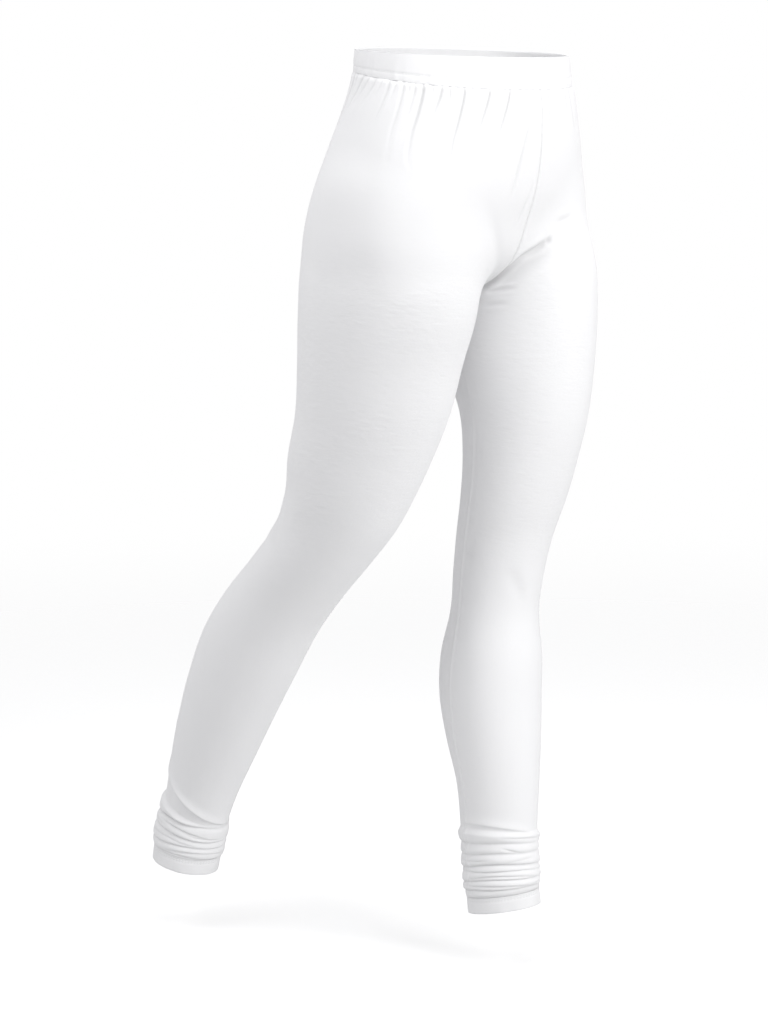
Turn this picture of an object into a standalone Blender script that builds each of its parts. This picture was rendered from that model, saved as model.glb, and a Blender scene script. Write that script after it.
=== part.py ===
"""Churidar leggings in their worn, walking form, with nobody in them.

Metres, +Z up, the front faces -Y and the garment's own left is +X. The origin is the middle of the
waistband.

The cloth follows a smooth body form: a hip form and two leg forms, each a table of level sections, joined
with rounded hollows. Each leg is one panel. Its rings run from the centre front round the outside to the
centre back as far down as the crotch, and close on themselves at the inseam below it. A panel is a wall: an
outer and an inner skin on the same rings, with the gathers and the folds pushed out along the form's own
direction.
"""

import math

import bpy
import numpy as np

# ---- Driving sizes -------------------------------------------------------------------------------

SEAM_GAP = 0.0003           # clearance between two pieces that are sewn together
CLOTH = 0.0013              # wall of the knit panels
BUNCHED_CLOTH = 0.0018      # wall where the cloth is crowded into ankle folds
BAND_WALL = 0.0026          # two layers of knit with the elastic between them
HEM_WALL = 0.0020           # turned and stitched ankle hem

WAIST_DEPTH = 0.196         # front to back of the waist
BAND_TOP_FRONT = 0.0155     # heights of the waistband's edges at its front and back
BAND_TOP_BACK = 0.0270
BAND_FOOT_FRONT = -0.0170
BAND_FOOT_BACK = 0.0060
BAND_PUFF = 0.0012          # how far the casing stands out over the elastic
BAND_EDGE_PUFF = 0.15       # share of half a wave that the puff's section leaves off at each edge
BAND_PUCKER = 0.0004        # waves along the casing's foot

HEM_HEIGHT = 0.018
HEM_PROUD = 0.0004          # how far the hem stands out from the last fold's valley
HEM_TURN_LENGTH = 0.090     # length of leg over which the hem's upward turn fades

KNIT_COLOUR = (0.86, 0.86, 0.88, 1.0)
KNIT_ROUGHNESS = 0.85
BAND_ROUGHNESS = 0.80

# ---- Net of the cloth ----------------------------------------------------------------------------

RING_STEPS = 32             # steps round a leg
RISE_STEPS = 14             # steps from the waist seam down to the crotch
LIMB_STEPS = 20             # steps from the crotch down to the first ankle fold
LIMB_CROWDING = 1.1         # above 1 the rings lie closer together under the crotch
BAND_ROWS = 4
HEM_ROWS = 3
SHARP_EDGE = 50             # degrees at which an edge stays sharp

RAY_LENGTH = 0.26           # longer than any reach from the middle of a ring
RAY_STEPS = 48              # coarse steps along a ray
RAY_HALVINGS = 26           # then halvings of the step that leaves the form
SLOPE_REACH = 0.0006        # half the distance over which the form's direction is measured
AXIS_REACH = 0.004          # half the distance over which a leg's direction is measured
TRACK_STEPS = 400           # points along a leg's axis, from below its hem to the crotch
TRACK_BELOW = 0.030
SEAM_STEPS = 240            # points along the rise seam
SEAM_TURN = 150.0           # degrees round RISE_CENTRE that they cover, from the crotch up

# ---- Body form -----------------------------------------------------------------------------------

BODY_BLEND = 0.030          # rounding between the hips and a leg
FORK_BLEND = 0.014          # rounding between the two legs
SEAT_FLOOR = -0.226         # lowest level of the hip form
SEAT_ROUND = 0.060          # rounding of its lower edge

# Level sections of the hips: height, depth of the middle, half width, reach to the front, reach to the
# back, and squareness (2 is an ellipse).
HIPS = (
    (0.040, 0.000, 0.134, 0.096, 0.094, 2.1),
    (0.000, 0.000, 0.138, 0.099, 0.098, 2.1),
    (-0.045, 0.000, 0.151, 0.104, 0.116, 2.1),
    (-0.088, 0.000, 0.162, 0.103, 0.133, 2.15),
    (-0.127, 0.000, 0.168, 0.096, 0.138, 2.2),
    (-0.167, 0.000, 0.170, 0.082, 0.135, 2.2),
    (-0.206, 0.000, 0.165, 0.070, 0.122, 2.2),
    (-0.250, 0.000, 0.150, 0.045, 0.100, 2.1),
    (-0.300, 0.000, 0.130, 0.040, 0.080, 2.0),
)

# Level sections of a leg: height, distance from the middle plane, depth, then the reach outwards, inwards,
# to the front and to the back, and squareness.
RIGHT_LEG = (
    (-0.060, 0.076, 0.020, 0.040, 0.040, 0.040, 0.040, 2.0),
    (-0.110, 0.082, 0.022, 0.075, 0.060, 0.070, 0.080, 2.0),
    (-0.160, 0.086, 0.024, 0.084, 0.074, 0.094, 0.104, 2.0),
    (-0.210, 0.088, 0.028, 0.088, 0.082, 0.102, 0.107, 2.0),
    (-0.260, 0.089, 0.034, 0.088, 0.083, 0.101, 0.103, 2.0),
    (-0.310, 0.088, 0.044, 0.085, 0.081, 0.093, 0.095, 2.0),
    (-0.370, 0.086, 0.058, 0.080, 0.078, 0.087, 0.087, 2.0),
    (-0.415, 0.085, 0.074, 0.075, 0.074, 0.082, 0.084, 2.0),
    (-0.460, 0.084, 0.090, 0.069, 0.067, 0.074, 0.075, 2.0),
    (-0.500, 0.083, 0.112, 0.062, 0.061, 0.071, 0.074, 2.0),
    (-0.540, 0.082, 0.146, 0.058, 0.057, 0.070, 0.075, 2.0),
    (-0.580, 0.079, 0.183, 0.056, 0.055, 0.068, 0.078, 2.0),
    (-0.620, 0.075, 0.216, 0.056, 0.055, 0.065, 0.078, 2.0),
    (-0.690, 0.070, 0.260, 0.053, 0.052, 0.062, 0.070, 2.0),
    (-0.740, 0.066, 0.287, 0.049, 0.048, 0.057, 0.063, 2.0),
    (-0.793, 0.061, 0.313, 0.044, 0.043, 0.050, 0.055, 2.0),
    (-0.845, 0.057, 0.337, 0.039, 0.038, 0.043, 0.046, 2.0),
    (-0.872, 0.055, 0.350, 0.038, 0.037, 0.043, 0.045, 2.0),
    (-0.940, 0.055, 0.366, 0.037, 0.036, 0.041, 0.042, 2.0),
)

LEFT_LEG = (
    (-0.060, 0.076, 0.004, 0.040, 0.040, 0.040, 0.040, 2.0),
    (-0.110, 0.082, 0.004, 0.074, 0.060, 0.070, 0.080, 2.0),
    (-0.160, 0.086, 0.003, 0.083, 0.074, 0.089, 0.105, 2.0),
    (-0.210, 0.087, 0.000, 0.086, 0.080, 0.101, 0.110, 2.0),
    (-0.260, 0.087, -0.005, 0.085, 0.080, 0.099, 0.104, 2.0),
    (-0.310, 0.086, -0.012, 0.082, 0.078, 0.090, 0.092, 2.0),
    (-0.380, 0.084, -0.022, 0.073, 0.068, 0.073, 0.071, 2.0),
    (-0.426, 0.083, -0.020, 0.067, 0.064, 0.064, 0.065, 2.0),
    (-0.472, 0.082, -0.013, 0.061, 0.060, 0.058, 0.061, 2.0),
    (-0.518, 0.080, -0.002, 0.055, 0.054, 0.053, 0.056, 2.0),
    (-0.564, 0.078, 0.005, 0.051, 0.050, 0.050, 0.053, 2.0),
    (-0.600, 0.076, 0.008, 0.050, 0.049, 0.049, 0.051, 2.0),
    (-0.656, 0.073, 0.006, 0.054, 0.053, 0.053, 0.066, 2.0),
    (-0.700, 0.070, 0.004, 0.054, 0.053, 0.053, 0.068, 2.0),
    (-0.748, 0.067, 0.000, 0.050, 0.049, 0.052, 0.061, 2.0),
    (-0.800, 0.064, -0.006, 0.044, 0.043, 0.048, 0.050, 2.0),
    (-0.861, 0.061, -0.010, 0.039, 0.038, 0.045, 0.046, 2.0),
    (-0.907, 0.060, -0.014, 0.038, 0.037, 0.044, 0.044, 2.0),
    (-0.960, 0.060, -0.020, 0.038, 0.037, 0.044, 0.044, 2.0),
)

# ---- Lie of the rings ----------------------------------------------------------------------------

RISE_CENTRE = (0.012, -0.115)   # depth and height of the point that the rise seam goes round
SIDE_SPAN = 0.170           # from the middle plane to the side of the hips
EDGE_CROWDING = 0.17        # how much closer the columns are set at the front and back than at the side
CROTCH_ROLL = 27.0          # degrees that the crotch ring rises outwards
CROTCH_REACH = 0.099        # from the crotch point to the middle of its ring
EARLY_REACH = 0.25          # share of it that grows evenly down the rise, the rest as the square
CROTCH_FADE = 0.160         # length of leg over which its rings settle square to the leg
CROTCH_CHORD = 0.02         # share of the rise seam, each way, that gives the crotch ring's pitch

# ---- Gathers, creases and folds ------------------------------------------------------------------

GATHERS = 16                # pleats under the band on each panel
GATHER_HEIGHT = 0.0030
GATHER_LEAN = 0.020         # share of the ring that a pleat drifts towards the back on its way down
GATHER_LENGTHS = (0.030, 0.062, 0.040, 0.095, 0.050, 0.075, 0.034)
GATHER_HEIGHTS = (0.8, 1.1, 0.7, 1.2, 0.9, 1.0, 0.75)

FOLD_UNEVENNESS = 0.15      # share of a fold's height that comes and goes round the leg

# Ankle folds from the top down: how far the fold's upper valley lies above the hem seam, how far the fold
# stands out, how much the valley slants, and the share of the ring where it is highest.
RIGHT_FOLDS = (
    (0.0820, 0.0022, 0.0175, 0.68),
    (0.0665, 0.0036, 0.0135, 0.68),
    (0.0455, 0.0034, 0.0040, 0.33),
    (0.0365, 0.0032, 0.0020, 0.33),
    (0.0270, 0.0034, 0.0030, 0.45),
    (0.0165, 0.0030, 0.0025, 0.30),
    (0.0085, 0.0028, 0.0020, 0.38),
)

LEFT_FOLDS = (
    (0.0870, 0.0014, 0.0060, 0.05),
    (0.0730, 0.0026, 0.0050, 0.05),
    (0.0585, 0.0032, 0.0030, 0.05),
    (0.0475, 0.0034, 0.0020, 0.08),
    (0.0335, 0.0030, 0.0030, 0.08),
    (0.0270, 0.0022, 0.0030, 0.05),
    (0.0210, 0.0024, 0.0030, 0.08),
    (0.0155, 0.0022, 0.0025, 0.04),
    (0.0105, 0.0024, 0.0020, 0.08),
    (0.0055, 0.0022, 0.0010, 0.05),
)

# One ankle fold in section, as shares: how far down from its upper valley, and how far out.
FOLD_SHAPE = ((0.0, 0.0), (0.42, 0.8), (0.78, 1.0))

GROIN_LOW = -0.212          # height of the groin's trough beside the middle plane
GROIN_START = 0.012         # distance outwards over which it begins
GROIN_LENGTH = 0.105        # how far outwards it reaches
GROIN_RISE = 0.075          # how far it rises on the way
GROIN_WIDTH = 0.010

# Each leg: which side of the middle plane it is on, its sections and ankle folds, the height of its hem seam
# on the leg's axis, how many degrees the hem is turned up at the front, and the depth of the groin's trough.
LEGS = {
    "right": {
        "side": -1, "sections": RIGHT_LEG, "folds": RIGHT_FOLDS, "hem": -0.913, "turn": 1.0, "groin": 0.0012,
    },
    "left": {
        "side": 1, "sections": LEFT_LEG, "folds": LEFT_FOLDS, "hem": -0.925, "turn": 5.0, "groin": 0.0030,
    },
}

# ---- Reading the body form -----------------------------------------------------------------------


def read_table(rows, heights):
    """Smooth reading of a table at the given heights: cubic pieces through its rows."""
    table = np.array(rows)
    knots = -table[:, 0]
    slopes = np.gradient(table[:, 1:], knots, axis=0)
    falls = np.clip(-np.asarray(heights), knots[0], knots[-1])
    low = np.clip(np.searchsorted(knots, falls, side="right") - 1, 0, len(knots) - 2)
    step = knots[low + 1] - knots[low]
    share = ((falls - knots[low]) / step)[..., None]
    step = step[..., None]
    start = table[low, 1:]
    end = table[low + 1, 1:]
    return ((1 + 2 * share) * (1 - share) ** 2 * start + share * (1 - share) ** 2 * step * slopes[low]
            + share ** 2 * (3 - 2 * share) * end + share ** 2 * (share - 1) * step * slopes[low + 1])


def level_distance(across, along, reach_across, reach_along, squareness):
    """Signed distance, measured level, from a superellipse section: negative inside."""
    across = np.where(np.abs(across) < 1e-6, 1e-6, across)
    away = np.hypot(across, along)
    ratio = np.abs(across / reach_across) ** squareness + np.abs(along / reach_along) ** squareness
    return away * (1 - ratio ** (-1 / squareness))


def round_union(first, second, rounding):
    share = np.clip(0.5 + 0.5 * (second - first) / rounding, 0.0, 1.0)
    return second + (first - second) * share - rounding * share * (1 - share)


def hip_distance(points):
    section = read_table(HIPS, points[..., 2])
    along = points[..., 1] - section[..., 0]
    reach = np.where(along < 0, section[..., 2], section[..., 3])
    side = level_distance(points[..., 0], along, section[..., 1], reach, section[..., 4])
    return -round_union(-side, points[..., 2] - SEAT_FLOOR, SEAT_ROUND)


def limb_distance(leg, points):
    section = read_table(leg["sections"], points[..., 2])
    across = points[..., 0] * leg["side"] - section[..., 0]
    along = points[..., 1] - section[..., 1]
    reach_across = np.where(across > 0, section[..., 2], section[..., 3])
    reach_along = np.where(along < 0, section[..., 4], section[..., 5])
    return level_distance(across, along, reach_across, reach_along, section[..., 6])


def form_distance(points):
    """Negative inside the hips or either leg, zero on the cloth, positive outside."""
    legs = round_union(limb_distance(LEGS["right"], points), limb_distance(LEGS["left"], points), FORK_BLEND)
    return round_union(hip_distance(points), legs, BODY_BLEND)


def form_direction(points):
    """The outward direction of the form at each point."""
    steps = SLOPE_REACH * np.eye(3)
    rises = [form_distance(points + step) - form_distance(points - step) for step in steps]
    slope = np.stack(rises, axis=-1)
    return slope / np.linalg.norm(slope, axis=-1, keepdims=True)


def cast_rays(start, heading, limit):
    """Where each ray first leaves the form, or its limit if it doesn't."""
    shares = np.linspace(0.0, 1.0, RAY_STEPS + 1)[1:]
    steps = shares.reshape((-1,) + (1,) * limit.ndim) * limit
    outside = form_distance(start + steps[..., None] * heading) > 0
    first = np.where(outside.any(axis=0), outside.argmax(axis=0), len(shares) - 1)
    far = shares[first] * limit
    near = far - limit / len(shares)
    for _ in range(RAY_HALVINGS):
        middle = 0.5 * (near + far)
        inside = form_distance(start + middle[..., None] * heading) < 0
        near = np.where(inside, middle, near)
        far = np.where(inside, far, middle)
    return start + far[..., None] * heading


# ---- Rings ---------------------------------------------------------------------------------------


def ring_axes(side, pitch, roll):
    """The outward and the backward direction of a ring pitched about X and then rolled outwards up."""
    pitch, roll = np.broadcast_arrays(pitch, roll)
    back = np.stack([np.zeros_like(pitch), np.cos(pitch), np.sin(pitch)], axis=-1)
    up = np.stack([np.zeros_like(pitch), -np.sin(pitch), np.cos(pitch)], axis=-1)
    out = np.cos(roll)[..., None] * np.array([side, 0.0, 0.0]) + np.sin(roll)[..., None] * up
    return out, back


def ring_points(side, middle, pitch, roll, opening, columns, one_side=True):
    """Points where rays in each ring's plane leave the form.

    columns runs from 0 at the front of the opening, round the outside, to 1 at its back. opening is half
    the angle that the middle plane cuts from the ring, 0 on a closed ring. A leg's rings keep to one side of
    that plane.
    """
    out, back = ring_axes(side, pitch, roll)
    crowding = EDGE_CROWDING * opening / (math.pi / 2)
    share = columns + crowding * np.sin(2 * math.pi * columns) / (2 * math.pi)
    angle = opening + share * (2 * math.pi - 2 * opening)
    heading = -np.cos(angle)[..., None] * out - np.sin(angle)[..., None] * back
    inward = -heading[..., 0] * side
    limit = np.full(inward.shape, RAY_LENGTH)
    if one_side:
        leaning = inward > 1e-6
        to_middle = np.abs(np.broadcast_to(middle[..., 0], inward.shape)[leaning]) / inward[leaning]
        limit[leaning] = np.minimum(RAY_LENGTH, to_middle)
    return cast_rays(np.broadcast_to(middle, heading.shape), heading, limit)


def band_foot(depth):
    """Height of the waist seam at a depth between the front and the back of the waist."""
    share = depth / WAIST_DEPTH + 0.5
    return BAND_FOOT_FRONT + share * (BAND_FOOT_BACK - BAND_FOOT_FRONT)


def rise_seam():
    """The front and the back rise seam: points from the crotch up, their lengths so far, and its whole."""
    centre = np.array([0.0, *RISE_CENTRE])
    seams = []
    for sign in (-1, 1):
        angle = np.linspace(0.0, math.radians(SEAM_TURN), SEAM_STEPS + 1)
        heading = np.stack([np.zeros_like(angle), sign * np.sin(angle), -np.cos(angle)], axis=-1)
        points = cast_rays(np.broadcast_to(centre, heading.shape), heading, np.full(angle.shape, RAY_LENGTH))
        lengths = np.concatenate([[0.0], np.cumsum(np.linalg.norm(np.diff(points, axis=0), axis=1))])
        over_seam = points[:, 2] + SEAM_GAP - band_foot(points[:, 1])
        whole = np.interp(0.0, np.maximum.accumulate(over_seam), lengths)
        seams.append((points, lengths, whole))
    return seams


def along_seam(seam, share):
    points, lengths, whole = seam
    return np.stack([np.interp(share * whole, lengths, points[:, axis]) for axis in range(3)], axis=-1)


def rise_rings(leg, rows):
    """Middles, pitch, roll and opening of the rings from the waist seam (row 0) to the crotch (row 1)."""
    front, back = (along_seam(seam, 1 - rows) for seam in rise_seam())
    near_front, near_back = (along_seam(seam, np.array([CROTCH_CHORD])) for seam in rise_seam())
    chord = np.where(rows[:, None] < 1, back - front, near_back - near_front)
    pitch = np.arctan2(chord[:, 2], chord[:, 1])
    half = 0.5 * np.linalg.norm(back - front, axis=-1)
    centre = 0.5 * (front + back)
    crotch_side = centre[-1, 2] + SIDE_SPAN * math.tan(math.radians(CROTCH_ROLL))
    side_height = centre[0, 2] + rows * (crotch_side - centre[0, 2])
    roll = np.arctan((side_height - centre[:, 2]) / SIDE_SPAN)
    reach = CROTCH_REACH * rows * (EARLY_REACH + (1 - EARLY_REACH) * rows)
    out, _ = ring_axes(leg["side"], pitch, roll)
    return centre + reach[:, None] * out, pitch, roll, np.arctan2(half, reach)


def leg_track(leg, crotch_height):
    """Heights on the leg's axis and how far each lies from the hem seam."""
    heights = np.linspace(leg["hem"] - TRACK_BELOW, crotch_height, TRACK_STEPS)
    section = read_table(leg["sections"], heights)
    axis = np.stack([section[:, 0], section[:, 1], heights], axis=-1)
    lengths = np.concatenate([[0.0], np.cumsum(np.linalg.norm(np.diff(axis, axis=0), axis=1))])
    return heights, lengths - np.interp(leg["hem"], heights, lengths)


def limb_rings(leg, distances, crotch_ring):
    """Middles, pitch and roll of the rings at these distances above the hem seam, of any array shape."""
    crotch_middle, crotch_pitch, crotch_roll = crotch_ring
    heights, lengths = leg_track(leg, crotch_middle[2])
    height = np.interp(distances, lengths, heights)

    def axis_point(level):
        section = read_table(leg["sections"], level)
        return np.stack([leg["side"] * section[..., 0], section[..., 1], level], axis=-1)

    run = axis_point(height - AXIS_REACH) - axis_point(height + AXIS_REACH)
    pitch = np.arctan2(run[..., 1], -run[..., 2])
    roll = np.arctan2(leg["side"] * run[..., 0], np.hypot(run[..., 1], run[..., 2]))
    turn = np.clip(1 - distances / HEM_TURN_LENGTH, 0.0, 1.0)
    pitch = pitch - math.radians(leg["turn"]) * turn
    fade = np.clip((lengths[-1] - distances) / CROTCH_FADE, 0.0, 1.0)
    fade = 1 - fade ** 2 * (3 - 2 * fade)
    pitch = pitch + fade * (crotch_pitch - pitch)
    roll = roll + fade * (crotch_roll - roll)
    shift = crotch_middle - axis_point(np.asarray(crotch_middle[2]))
    middle = axis_point(height) + fade[..., None] * shift
    return middle, pitch, roll


# ---- Gathers, creases and folds on a panel -------------------------------------------------------


def gather_lift(columns, below_band):
    """Pleats under the waistband: each has its own height and length, and fades to nothing."""
    place = (columns - GATHER_LEAN * below_band / 0.1) * GATHERS
    number = np.clip(np.floor(place), 0, GATHERS - 1).astype(int)
    length = np.array(GATHER_LENGTHS)[number % len(GATHER_LENGTHS)]
    height = np.array(GATHER_HEIGHTS)[number % len(GATHER_HEIGHTS)] * GATHER_HEIGHT
    fade = np.exp(-(below_band / length) ** 2)
    return height * fade * np.sin(math.pi * (place - np.floor(place))) ** 2


def groin_lift(leg, points):
    """The soft trough where the thigh meets the belly, running up and outwards from the crotch."""
    across = points[..., 0] * leg["side"]
    share = np.clip(across / GROIN_LENGTH, 0.0, 1.0)
    off_line = points[..., 2] - (GROIN_LOW + share * GROIN_RISE)
    fade = np.clip(across / GROIN_START, 0.0, 1.0) * (1 - share) * (points[..., 1] < 0)
    return -leg["groin"] * fade * np.exp(-(off_line / GROIN_WIDTH) ** 2)


def valley_lines(folds, columns):
    """Distances above the hem seam of each fold's upper valley, and of the seam itself in the last row."""
    table = np.array(folds)[:, :, None]
    valleys = table[:, 0] + table[:, 2] * np.cos(2 * math.pi * (columns - table[:, 3]))
    return np.concatenate([valleys, np.full((1, len(columns)), SEAM_GAP)])


def panel_rows(leg, columns):
    """Base points of a leg panel, row by row, and how far its cloth stands out from each of them."""
    rise = rise_rings(leg, np.linspace(0.0, 1.0, RISE_STEPS + 1))
    upper = ring_points(leg["side"], *(value[:, None] for value in rise), columns[None])
    below_band = np.cumsum(np.linalg.norm(np.diff(upper, axis=0, prepend=upper[:1]), axis=-1), axis=0)
    crotch_ring = tuple(value[-1] for value in rise[:3])

    valleys = valley_lines(leg["folds"], columns)
    top = leg_track(leg, crotch_ring[0][2])[1][-1]
    shares = np.linspace(0.0, 1.0, LIMB_STEPS + 1)[1:-1, None] ** LIMB_CROWDING
    distances = [top + shares * (valleys[0] - top)]
    lifts = [np.zeros_like(distances[0])]
    for fold, upper_valley, lower_valley in zip(leg["folds"], valleys[:-1], valleys[1:]):
        coming_and_going = np.cos(4 * math.pi * (columns - fold[3])) - 1
        fullness = fold[1] * (1 + FOLD_UNEVENNESS * coming_and_going)
        for down, out in FOLD_SHAPE:
            distances.append((upper_valley + down * (lower_valley - upper_valley))[None])
            lifts.append((out * fullness)[None])
    distances = np.concatenate(distances + [valleys[-1:]])
    lifts = np.concatenate(lifts + [np.zeros_like(valleys[-1:])])
    lower = ring_points(leg["side"], *limb_rings(leg, distances, crotch_ring), 0.0, columns[None])

    points = np.concatenate([upper, lower])
    lift = np.concatenate([gather_lift(columns, below_band), lifts])
    return points, lift + groin_lift(leg, points)


# ---- Solids --------------------------------------------------------------------------------------


def numbered_rows(rows, columns, first_closed):
    """Vertex numbers of a grid whose rows close on themselves from row first_closed down."""
    numbers = np.arange(rows * columns).reshape(rows, columns)
    numbers[first_closed:, -1] = numbers[first_closed:, 0]
    return numbers


def strip_triangles(near, far):
    """Two triangles for each step between two lines of vertex numbers."""
    first = np.stack([near[:-1], far[:-1], far[1:]], axis=-1)
    second = np.stack([near[:-1], far[1:], near[1:]], axis=-1)
    return np.concatenate([first, second])


def wall_object(name, outer, inner, first_closed, material):
    """A closed wall between two grids of points. Rows run downwards, columns round the piece."""
    rows, columns = outer.shape[:2]
    skin = numbered_rows(rows, columns, first_closed)
    lining = skin + rows * columns
    faces = [strip_triangles(skin[row], skin[row + 1]) for row in range(rows - 1)]
    faces += [strip_triangles(lining[row], lining[row + 1])[:, ::-1] for row in range(rows - 1)]
    faces += [strip_triangles(lining[0], skin[0]), strip_triangles(skin[-1], lining[-1])]
    if first_closed:
        open_rows = slice(0, first_closed + 1)
        faces.append(strip_triangles(skin[open_rows, 0], lining[open_rows, 0]))
        faces.append(strip_triangles(lining[open_rows, -1], skin[open_rows, -1]))
    faces = np.concatenate(faces)
    points = np.concatenate([outer.reshape(-1, 3), inner.reshape(-1, 3)])
    corners = points[faces]
    volume = np.einsum("ij,ij->i", corners[:, 0], np.cross(corners[:, 1], corners[:, 2])).sum()
    if volume < 0:
        faces = faces[:, ::-1]
    used, faces = np.unique(faces, return_inverse=True)
    mesh = bpy.data.meshes.new(name)
    mesh.from_pydata(points[used].tolist(), [], faces.reshape(-1, 3).tolist())
    mesh.materials.append(material)
    mesh.shade_smooth()
    mesh.set_sharp_from_angle(angle=math.radians(SHARP_EDGE))
    return bpy.data.objects.new(name, mesh)


def cloth_material(name, colour, roughness):
    material = bpy.data.materials.new(name)
    material.use_nodes = True
    shader = material.node_tree.nodes["Principled BSDF"]
    shader.inputs["Base Color"].default_value = colour
    shader.inputs["Roughness"].default_value = roughness
    shader.inputs["Metallic"].default_value = 0.0
    return material


def leg_panel(name, leg):
    """One panel, waist seam to hem seam: its edges above the crotch lie along the middle plane."""
    columns = np.linspace(0.0, 1.0, RING_STEPS + 1)
    points, lift = panel_rows(leg, columns)
    outward = form_direction(points)
    edge = np.ix_(range(RISE_STEPS + 1), (0, -1))
    points[(*edge, 0)] = 0.0
    outward[(*edge, 0)] = 0.0
    outward[edge] /= np.linalg.norm(outward[edge], axis=-1, keepdims=True)
    crowded = (np.arange(len(points)) > RISE_STEPS + LIMB_STEPS).astype(float)
    wall = CLOTH + crowded * (BUNCHED_CLOTH - CLOTH)
    outer = points + lift[..., None] * outward
    inner = outer - wall[:, None, None] * outward
    apart = np.array([leg["side"] * SEAM_GAP / 2, 0.0, 0.0])
    material = cloth_material(name + "_knit", KNIT_COLOUR, KNIT_ROUGHNESS)
    return wall_object(name, outer + apart, inner + apart, RISE_STEPS, material)


def ankle_hem(name, leg):
    """The smooth turned band at the end of a leg."""
    columns = np.linspace(0.0, 1.0, RING_STEPS + 1)
    crotch_ring = tuple(value[-1] for value in rise_rings(leg, np.linspace(0.0, 1.0, RISE_STEPS + 1))[:3])
    distances = np.repeat(np.linspace(0.0, -HEM_HEIGHT, HEM_ROWS)[:, None], len(columns), axis=1)
    points = ring_points(leg["side"], *limb_rings(leg, distances, crotch_ring), 0.0, columns[None])
    outward = form_direction(points)
    outer = points + HEM_PROUD * outward
    apart = np.array([leg["side"] * SEAM_GAP / 2, 0.0, 0.0])
    material = cloth_material(name + "_knit", KNIT_COLOUR, KNIT_ROUGHNESS)
    return wall_object(name, outer + apart, outer - HEM_WALL * outward + apart, 0, material)


def waist_band(name):
    """The elastic casing: its edges dip to the front, and it is puffed between them and puckered below."""
    columns = np.linspace(0.0, 1.0, 2 * RING_STEPS + 1)
    down = np.linspace(0.0, 1.0, BAND_ROWS)[:, None]
    front = BAND_TOP_FRONT + down * (BAND_FOOT_FRONT - BAND_TOP_FRONT)
    back = BAND_TOP_BACK + down * (BAND_FOOT_BACK - BAND_TOP_BACK)
    pitch = np.arctan2(back - front, WAIST_DEPTH)
    middle = np.stack([np.zeros_like(front), np.zeros_like(front), (front + back) / 2], axis=-1)
    points = ring_points(1, middle, pitch, np.zeros_like(pitch), 0.0, columns[None], one_side=False)
    outward = form_direction(points)
    outward[..., 2] = 0.0
    outward /= np.linalg.norm(outward, axis=-1, keepdims=True)
    pucker = BAND_PUCKER * down * np.cos(2 * math.pi * 2 * GATHERS * columns)
    half_wave = math.pi * (BAND_EDGE_PUFF + (1 - 2 * BAND_EDGE_PUFF) * down)
    lift = BAND_PUFF * np.sin(half_wave) + pucker
    outer = points + lift[..., None] * outward
    material = cloth_material(name + "_knit", KNIT_COLOUR, BAND_ROUGHNESS)
    return wall_object(name, outer, outer - BAND_WALL * outward, 0, material)


def main():
    for thing in list(bpy.data.objects):
        bpy.data.objects.remove(thing, do_unlink=True)
    collection = bpy.data.collections.new("churidar_pants")
    bpy.context.scene.collection.children.link(collection)
    pieces = [waist_band("waistband")]
    for name, leg in LEGS.items():
        pieces.append(leg_panel("leg_" + name, leg))
        pieces.append(ankle_hem("hem_" + name, leg))
    for piece in pieces:
        collection.objects.link(piece)


main()
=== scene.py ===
# Churidar pants of white cotton knit, in their worn, walking form with nobody in them.
# Metres, +Z up: the front faces -Y, the garment's own left is +X, and the origin is the waistband's middle.

import math

import bpy
import numpy as np
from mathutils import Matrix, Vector


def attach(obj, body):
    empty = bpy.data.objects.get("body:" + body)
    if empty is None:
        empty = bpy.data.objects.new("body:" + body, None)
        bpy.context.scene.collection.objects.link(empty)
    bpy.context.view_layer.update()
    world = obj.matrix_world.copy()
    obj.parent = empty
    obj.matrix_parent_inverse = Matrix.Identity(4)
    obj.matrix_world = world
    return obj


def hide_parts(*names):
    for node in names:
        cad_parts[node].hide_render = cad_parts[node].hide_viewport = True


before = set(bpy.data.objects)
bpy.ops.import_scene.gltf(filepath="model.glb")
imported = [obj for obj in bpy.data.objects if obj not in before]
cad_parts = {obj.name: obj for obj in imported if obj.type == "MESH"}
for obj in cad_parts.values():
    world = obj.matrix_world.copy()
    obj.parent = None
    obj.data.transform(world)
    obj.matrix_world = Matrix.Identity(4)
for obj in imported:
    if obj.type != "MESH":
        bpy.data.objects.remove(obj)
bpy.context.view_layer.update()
print("frame loaded:", ", ".join(sorted(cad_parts)))

fullTurn = 2 * math.pi
tiny = 1e-6
seamGap = 0.0003    # between a panel and what is sewn to its end

# The body form under the cloth, in level sections, joined with rounded hollows.
hipForm = {
    "floor": -0.226,        # lowest level of the seat
    "floorRound": 0.060,    # rounding of the seat into that level
    "bodyBlend": 0.030,     # rounding between the hips and a leg
    "forkBlend": 0.014,     # rounding between the two legs
    "slopeStep": 0.0006,    # step with which the form's slope is taken
    # height, depth of the middle, half width, reach to the front, reach to the back, squareness
    "sections": (
        (0.040, 0.000, 0.134, 0.096, 0.094, 2.1),
        (0.000, 0.000, 0.138, 0.099, 0.098, 2.1),
        (-0.045, 0.000, 0.151, 0.104, 0.116, 2.1),
        (-0.088, 0.000, 0.162, 0.103, 0.133, 2.15),
        (-0.127, 0.000, 0.168, 0.096, 0.138, 2.2),
        (-0.167, 0.000, 0.170, 0.082, 0.135, 2.2),
        (-0.206, 0.000, 0.165, 0.070, 0.122, 2.2),
        (-0.250, 0.000, 0.150, 0.045, 0.100, 2.1),
        (-0.300, 0.000, 0.130, 0.040, 0.080, 2.0),
    ),
}

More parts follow.
